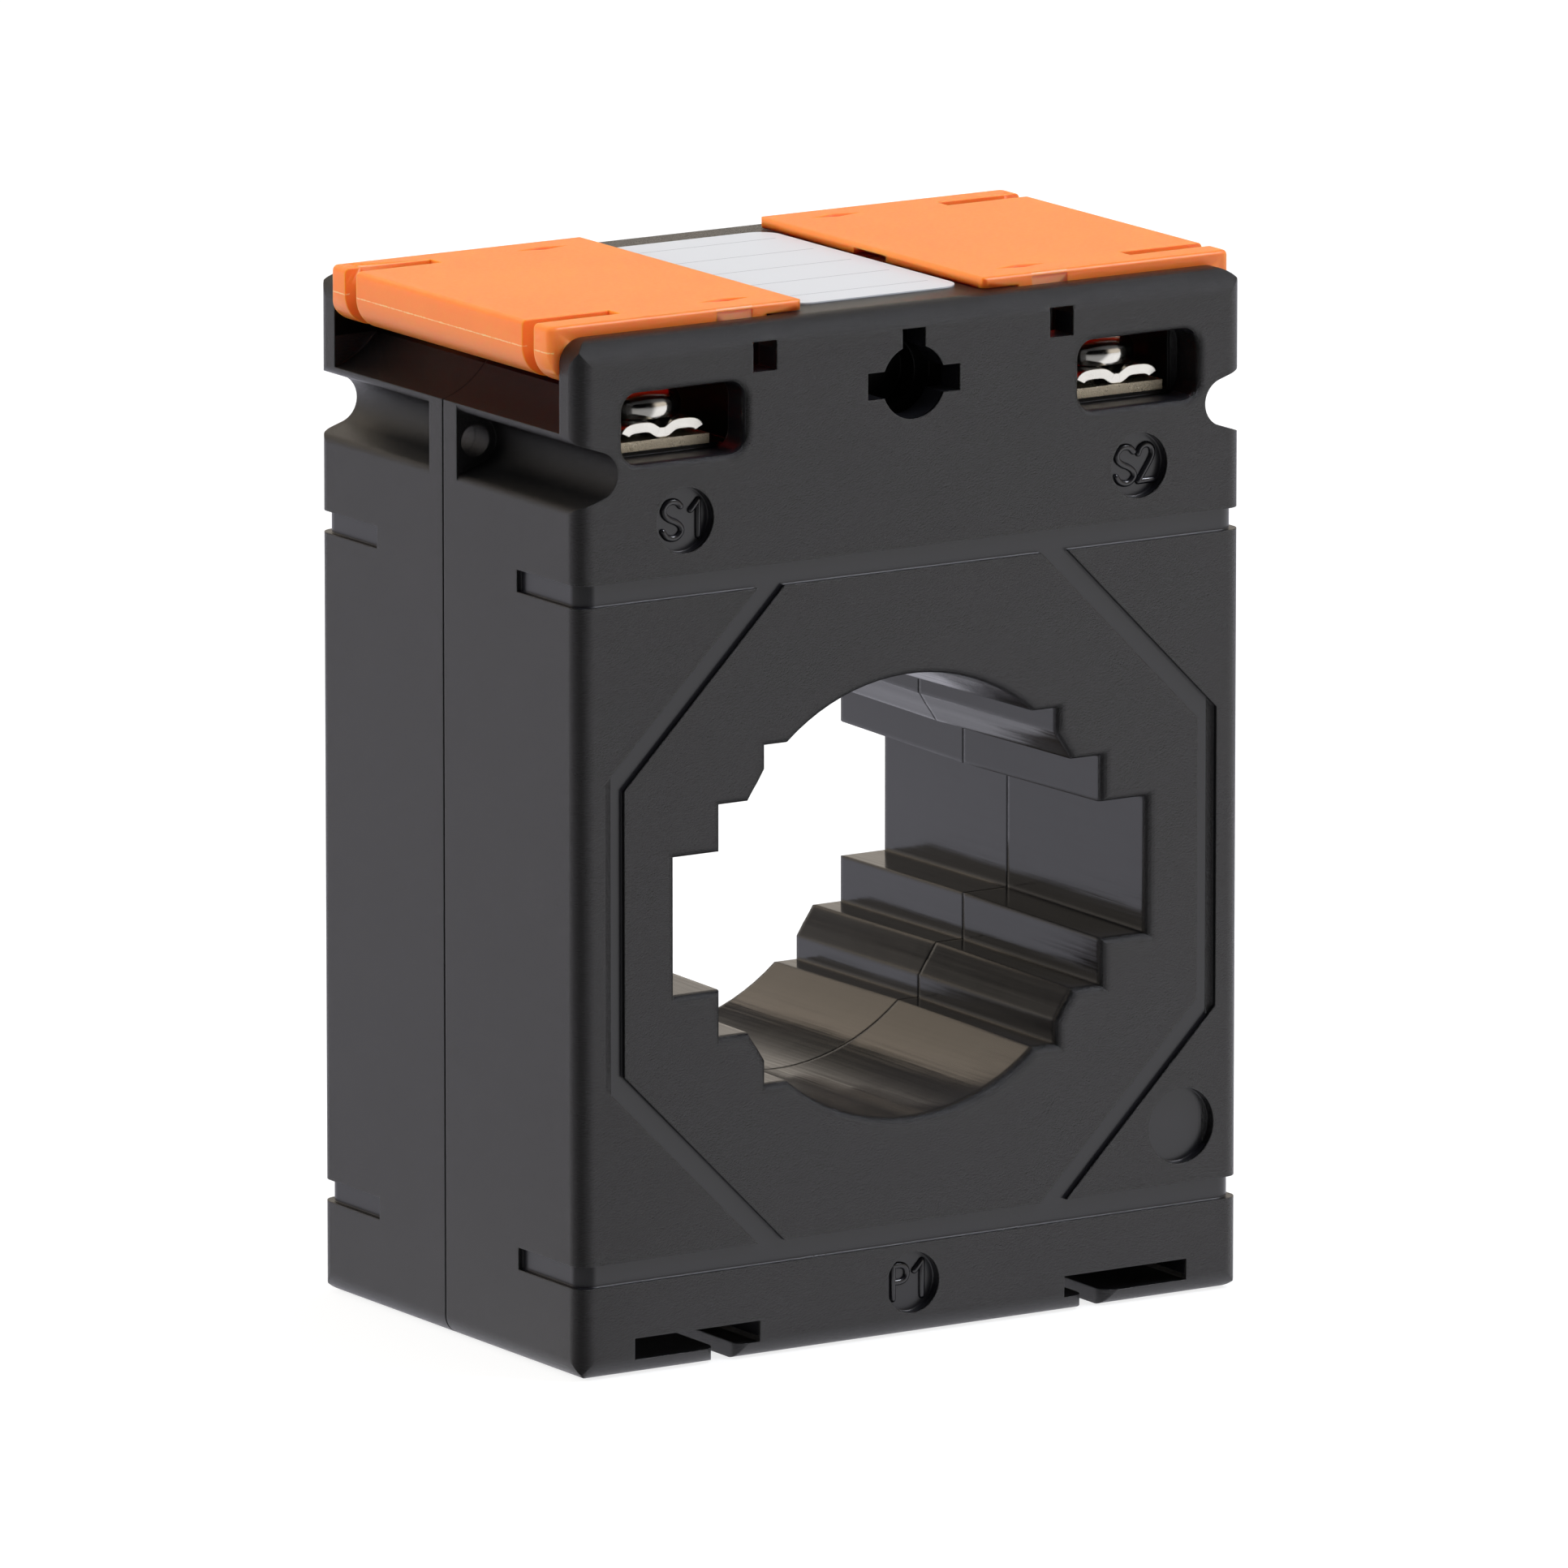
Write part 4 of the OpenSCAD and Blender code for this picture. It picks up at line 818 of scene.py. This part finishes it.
class FinishTerminals(bpy.types.Operator):
    """Forms and plates the clamps and screws, and plates the terminal bars and nuts"""
    bl_idname = "transformer.finish_terminals"
    bl_label = "Finish terminals"

    def execute(self, context):
        # tint, lowest and highest roughness, size and depth of the grain in millimetres
        bar = plated_metal("nickel_plated_copper_bar", "#D8CDB6", 0.2, 0.42, 0.14, 0.1)
        clamp = plated_metal("nickel_plated_steel_clamp", "#D9D7D0", 0.14, 0.3, 0.4, 0.008)
        screw = plated_metal("nickel_plated_steel_screw", "#D4D2CC", 0.08, 0.2, 0.5, 0.006)
        nut = plated_metal("zinc_plated_steel_nut", "#C3C8CC", 0.25, 0.4, 0.3, 0.015)
        for side in ("left", "right"):
            dress(NODES[f"{side}_terminal_bar"], bar)
        for corner in CORNERS:
            gull_clamp(f"{corner}_gull_clamp", f"{corner}_clamp", clamp)
            pan_head_screw(f"{corner}_pan_head", f"{corner}_screw", screw)
            dress(NODES[f"{corner}_nut"], nut)
        return {"FINISHED"}


class FinishCore(bpy.types.Operator):
    """Finishes the wound core, its caps, winding, tape and lead sleeves"""
    bl_idname = "transformer.finish_core"
    bl_label = "Finish core"

    def execute(self, context):
        nylon = moulded_nylon()
        red = extruded_sleeving("red_sleeving", "#7A1F18", "#94291F")
        blue = extruded_sleeving("blue_sleeving", "#1E3568", "#29457F")
        dress(NODES["core_ring"], wound_silicon_steel())
        dress(NODES["front_core_cap"], nylon)
        dress(NODES["rear_core_cap"], nylon)
        dress(NODES["secondary_winding"], enamelled_copper())
        dress(NODES["winding_tape"], polyester_tape())
        dress(NODES["left_lead_sleeve"], red)
        dress(NODES["right_lead_sleeve"], blue)
        return {"FINISHED"}


class SetStage(bpy.types.Operator):
    """Makes the floor, the soft studio light and the camera"""
    bl_idname = "transformer.set_stage"
    bl_label = "Set stage"

    def execute(self, context):
        self.make_floor(context)
        self.make_world(context)
        self.make_lamps(context)
        self.make_camera(context)
        return {"FINISHED"}

    @staticmethod
    def seen_by_rays(tree):
        """Light Path's camera ray, and its glossy and transmission rays together."""
        path = add(tree, "ShaderNodeLightPath").outputs
        return path["Is Camera Ray"], either(tree, path["Is Glossy Ray"],
                                             path["Is Transmission Ray"])

    @staticmethod
    def outside_dark_room(tree, direction):
        """1 towards the lit cove, falling to 0 towards the dark room before the left edge."""
        level = add(tree, "ShaderNodeVectorMath", {0: direction, 1: (1.0, 1.0, 0.0)},
                    operation="MULTIPLY")
        level = add(tree, "ShaderNodeVectorMath", {0: level}, operation="NORMALIZE")
        facing = add(tree, "ShaderNodeVectorMath", {0: level, 1: (-0.814, -0.581, 0.0)},
                     operation="DOT_PRODUCT")
        return add(tree, "ShaderNodeMapRange",
                   {"Value": facing.outputs["Value"], "From Min": 0.42, "From Max": 0.15,
                    "To Min": 0.0, "To Max": 1.0}, interpolation_type="SMOOTHSTEP")

    def make_floor(self, context):
        mesh = bmesh.new()
        bmesh.ops.create_circle(mesh, cap_ends=True, segments=64, radius=8.0)
        data = bpy.data.meshes.new("floor")
        mesh.to_mesh(data)
        mesh.free()
        floor = bpy.data.objects.new("floor", data)
        # a hair under the base, so that the two faces don't share a plane
        floor.location.z = CAD_BOX[0][2] - 0.02 * MM
        context.scene.collection.objects.link(floor)
        data.materials.append(self.white_paper())

    def white_paper(self):
        """Matt white paper, which mirrors see as the pale cove that it curves up into."""
        mat, tree, where = blank_material("matt_white_paper")
        camera, mirrored = self.seen_by_rays(tree)
        # directions and distances count from the near upright corner of the body
        from_corner = add(tree, "ShaderNodeVectorMath", {0: where, 1: (-28.0, -17.0, 0.0)},
                          operation="SUBTRACT")
        lit = self.outside_dark_room(tree, from_corner)
        # the side away from the lamps is a little darker and bluer
        behind = add(tree, "ShaderNodeSeparateXYZ", {0: from_corner}).outputs["Y"]
        far = add(tree, "ShaderNodeMapRange", {"Value": behind, "From Min": -50.0,
                                               "From Max": 100.0},
                  interpolation_type="SMOOTHSTEP")
        level = add(tree, "ShaderNodeMapRange", {"Value": far, "To Min": 0.85, "To Max": 0.55})
        shown = add(tree, "ShaderNodeMath", {0: camera, 1: 0.8}, operation="MULTIPLY")
        strength = add(tree, "ShaderNodeMath", {0: both(tree, mirrored, lit), 1: level,
                                                2: shown}, operation="MULTIPLY_ADD")
        cool = add(tree, "ShaderNodeMix", {0: far, 6: linear("#FDFCFF"), 7: linear("#EDECFF")},
                   data_type="RGBA")
        tint = add(tree, "ShaderNodeMix", {0: camera, 6: cool.outputs[2],
                                           7: linear("#FFFFFF")}, data_type="RGBA")
        glow = add(tree, "ShaderNodeEmission", {"Color": tint.outputs[2],
                                                "Strength": strength})
        paper = add(tree, "ShaderNodeBsdfDiffuse", {"Color": (0.3, 0.3, 0.3, 1.0)})
        lit_paper = add(tree, "ShaderNodeAddShader", {0: glow, 1: paper})
        add(tree, "ShaderNodeOutputMaterial", {"Surface": lit_paper})
        return mat

    def make_world(self, context):
        world = bpy.data.worlds.new("studio")
        context.scene.world = world
        world.use_nodes = True
        tree = world.node_tree
        tree.nodes.clear()
        camera, mirrored = self.seen_by_rays(tree)
        along = add(tree, "ShaderNodeTexCoord").outputs["Generated"]
        lit = self.outside_dark_room(tree, along)
        height = add(tree, "ShaderNodeSeparateXYZ", {0: along}).outputs["Z"]
        # the cove is bright near the floor and fades from 13 to 30 degrees up to a dark ceiling
        low = add(tree, "ShaderNodeMapRange", {"Value": height, "From Min": 0.22,
                                               "From Max": 0.5, "To Min": 1.0, "To Max": 0.15},
                  interpolation_type="SMOOTHSTEP")
        seen = add(tree, "ShaderNodeMath", {0: both(tree, mirrored, lit, low), 1: 0.8},
                   operation="MULTIPLY")
        # the camera sees plain white, and what is left over lights the object
        rest = outside(tree, either(tree, camera, mirrored))
        strength = add(tree, "ShaderNodeMath", {0: rest, 1: 0.55, 2: either(tree, camera, seen)},
                       operation="MULTIPLY_ADD")
        tint = add(tree, "ShaderNodeMix", {0: mirrored, 6: linear("#FFFFFF"),
                                           7: linear("#FFF4E6")}, data_type="RGBA")
        sky = add(tree, "ShaderNodeBackground", {"Color": tint.outputs[2],
                                                 "Strength": strength})
        add(tree, "ShaderNodeOutputWorld", {"Surface": sky})

    def make_lamps(self, context):
        # place, size, power and tint, and whether the object mirrors the lamp itself
        for name, at, size, power, tint, mirrored in (
            ("front_softbox", (0.53, -0.42, 0.8), 0.3, 6.5, "#F1F4FF", True),
            ("back_softbox", (-0.03, 0.8, 0.62), 0.5, 0.8, "#FFEBD2", True),
            ("left_softbox", (-0.95, 0.45, 0.55), 0.7, 9.0, "#FFFBF4", False),
        ):
            data = bpy.data.lights.new(name, "AREA")
            data.color = linear(tint)[:3]
            data.shape = "SQUARE"
            data.size = size
            data.energy = power
            lamp = bpy.data.objects.new(name, data)
            lamp.location = at
            aim = Vector((0, 0, 0.04)) - Vector(at)
            lamp.rotation_euler = aim.to_track_quat("-Z", "Y").to_euler()
            lamp.visible_glossy = mirrored
            context.scene.collection.objects.link(lamp)

    def make_camera(self, context):
        looks = context.scene.studio_looks
        data = bpy.data.cameras.new("camera")
        data.sensor_width = 36.0
        data.lens = looks.lens
        data.clip_start = 0.05
        data.clip_end = 20.0
        camera = bpy.data.objects.new("camera", data)
        camera.location = looks.camera_at
        camera.rotation_euler = Vector(looks.camera_along).to_track_quat("-Z", "Y").to_euler()
        context.scene.collection.objects.link(camera)
        context.scene.camera = camera
        context.scene.view_settings.view_transform = "Standard"


OPERATORS = (FinishHousing, RaiseMarks, FinishCovers, FinishLabel, FinishTerminals, FinishCore,
             SetStage)
LOOKS = {"housing_looks": HousingLooks, "cover_looks": CoverLooks, "mark_looks": MarkLooks,
         "studio_looks": StudioLooks}


class TransformerPanel(bpy.types.Panel):
    """Lists the steps and their settings"""
    bl_idname = "VIEW3D_PT_transformer"
    bl_label = "Current transformer"
    bl_space_type = "VIEW_3D"
    bl_region_type = "UI"
    bl_category = "Transformer"

    def draw(self, context):
        for group in LOOKS:
            looks = getattr(context.scene, group)
            for name in looks.__annotations__:
                self.layout.prop(looks, name)
        for step in OPERATORS:
            self.layout.operator(step.bl_idname)


def register():
    for made in (*LOOKS.values(), *OPERATORS, TransformerPanel):
        bpy.utils.register_class(made)
    for name, group in LOOKS.items():
        setattr(bpy.types.Scene, name, PointerProperty(type=group))


def unregister():
    for name in LOOKS:
        delattr(bpy.types.Scene, name)
    for made in reversed((*LOOKS.values(), *OPERATORS, TransformerPanel)):
        bpy.utils.unregister_class(made)


def main():
    register()
    bpy.ops.transformer.finish_housing()
    bpy.ops.transformer.raise_marks()
    bpy.ops.transformer.finish_covers()
    bpy.ops.transformer.finish_label()
    bpy.ops.transformer.finish_terminals()
    bpy.ops.transformer.finish_core()
    bpy.ops.transformer.set_stage()


if __name__ == "__main__":
    main()
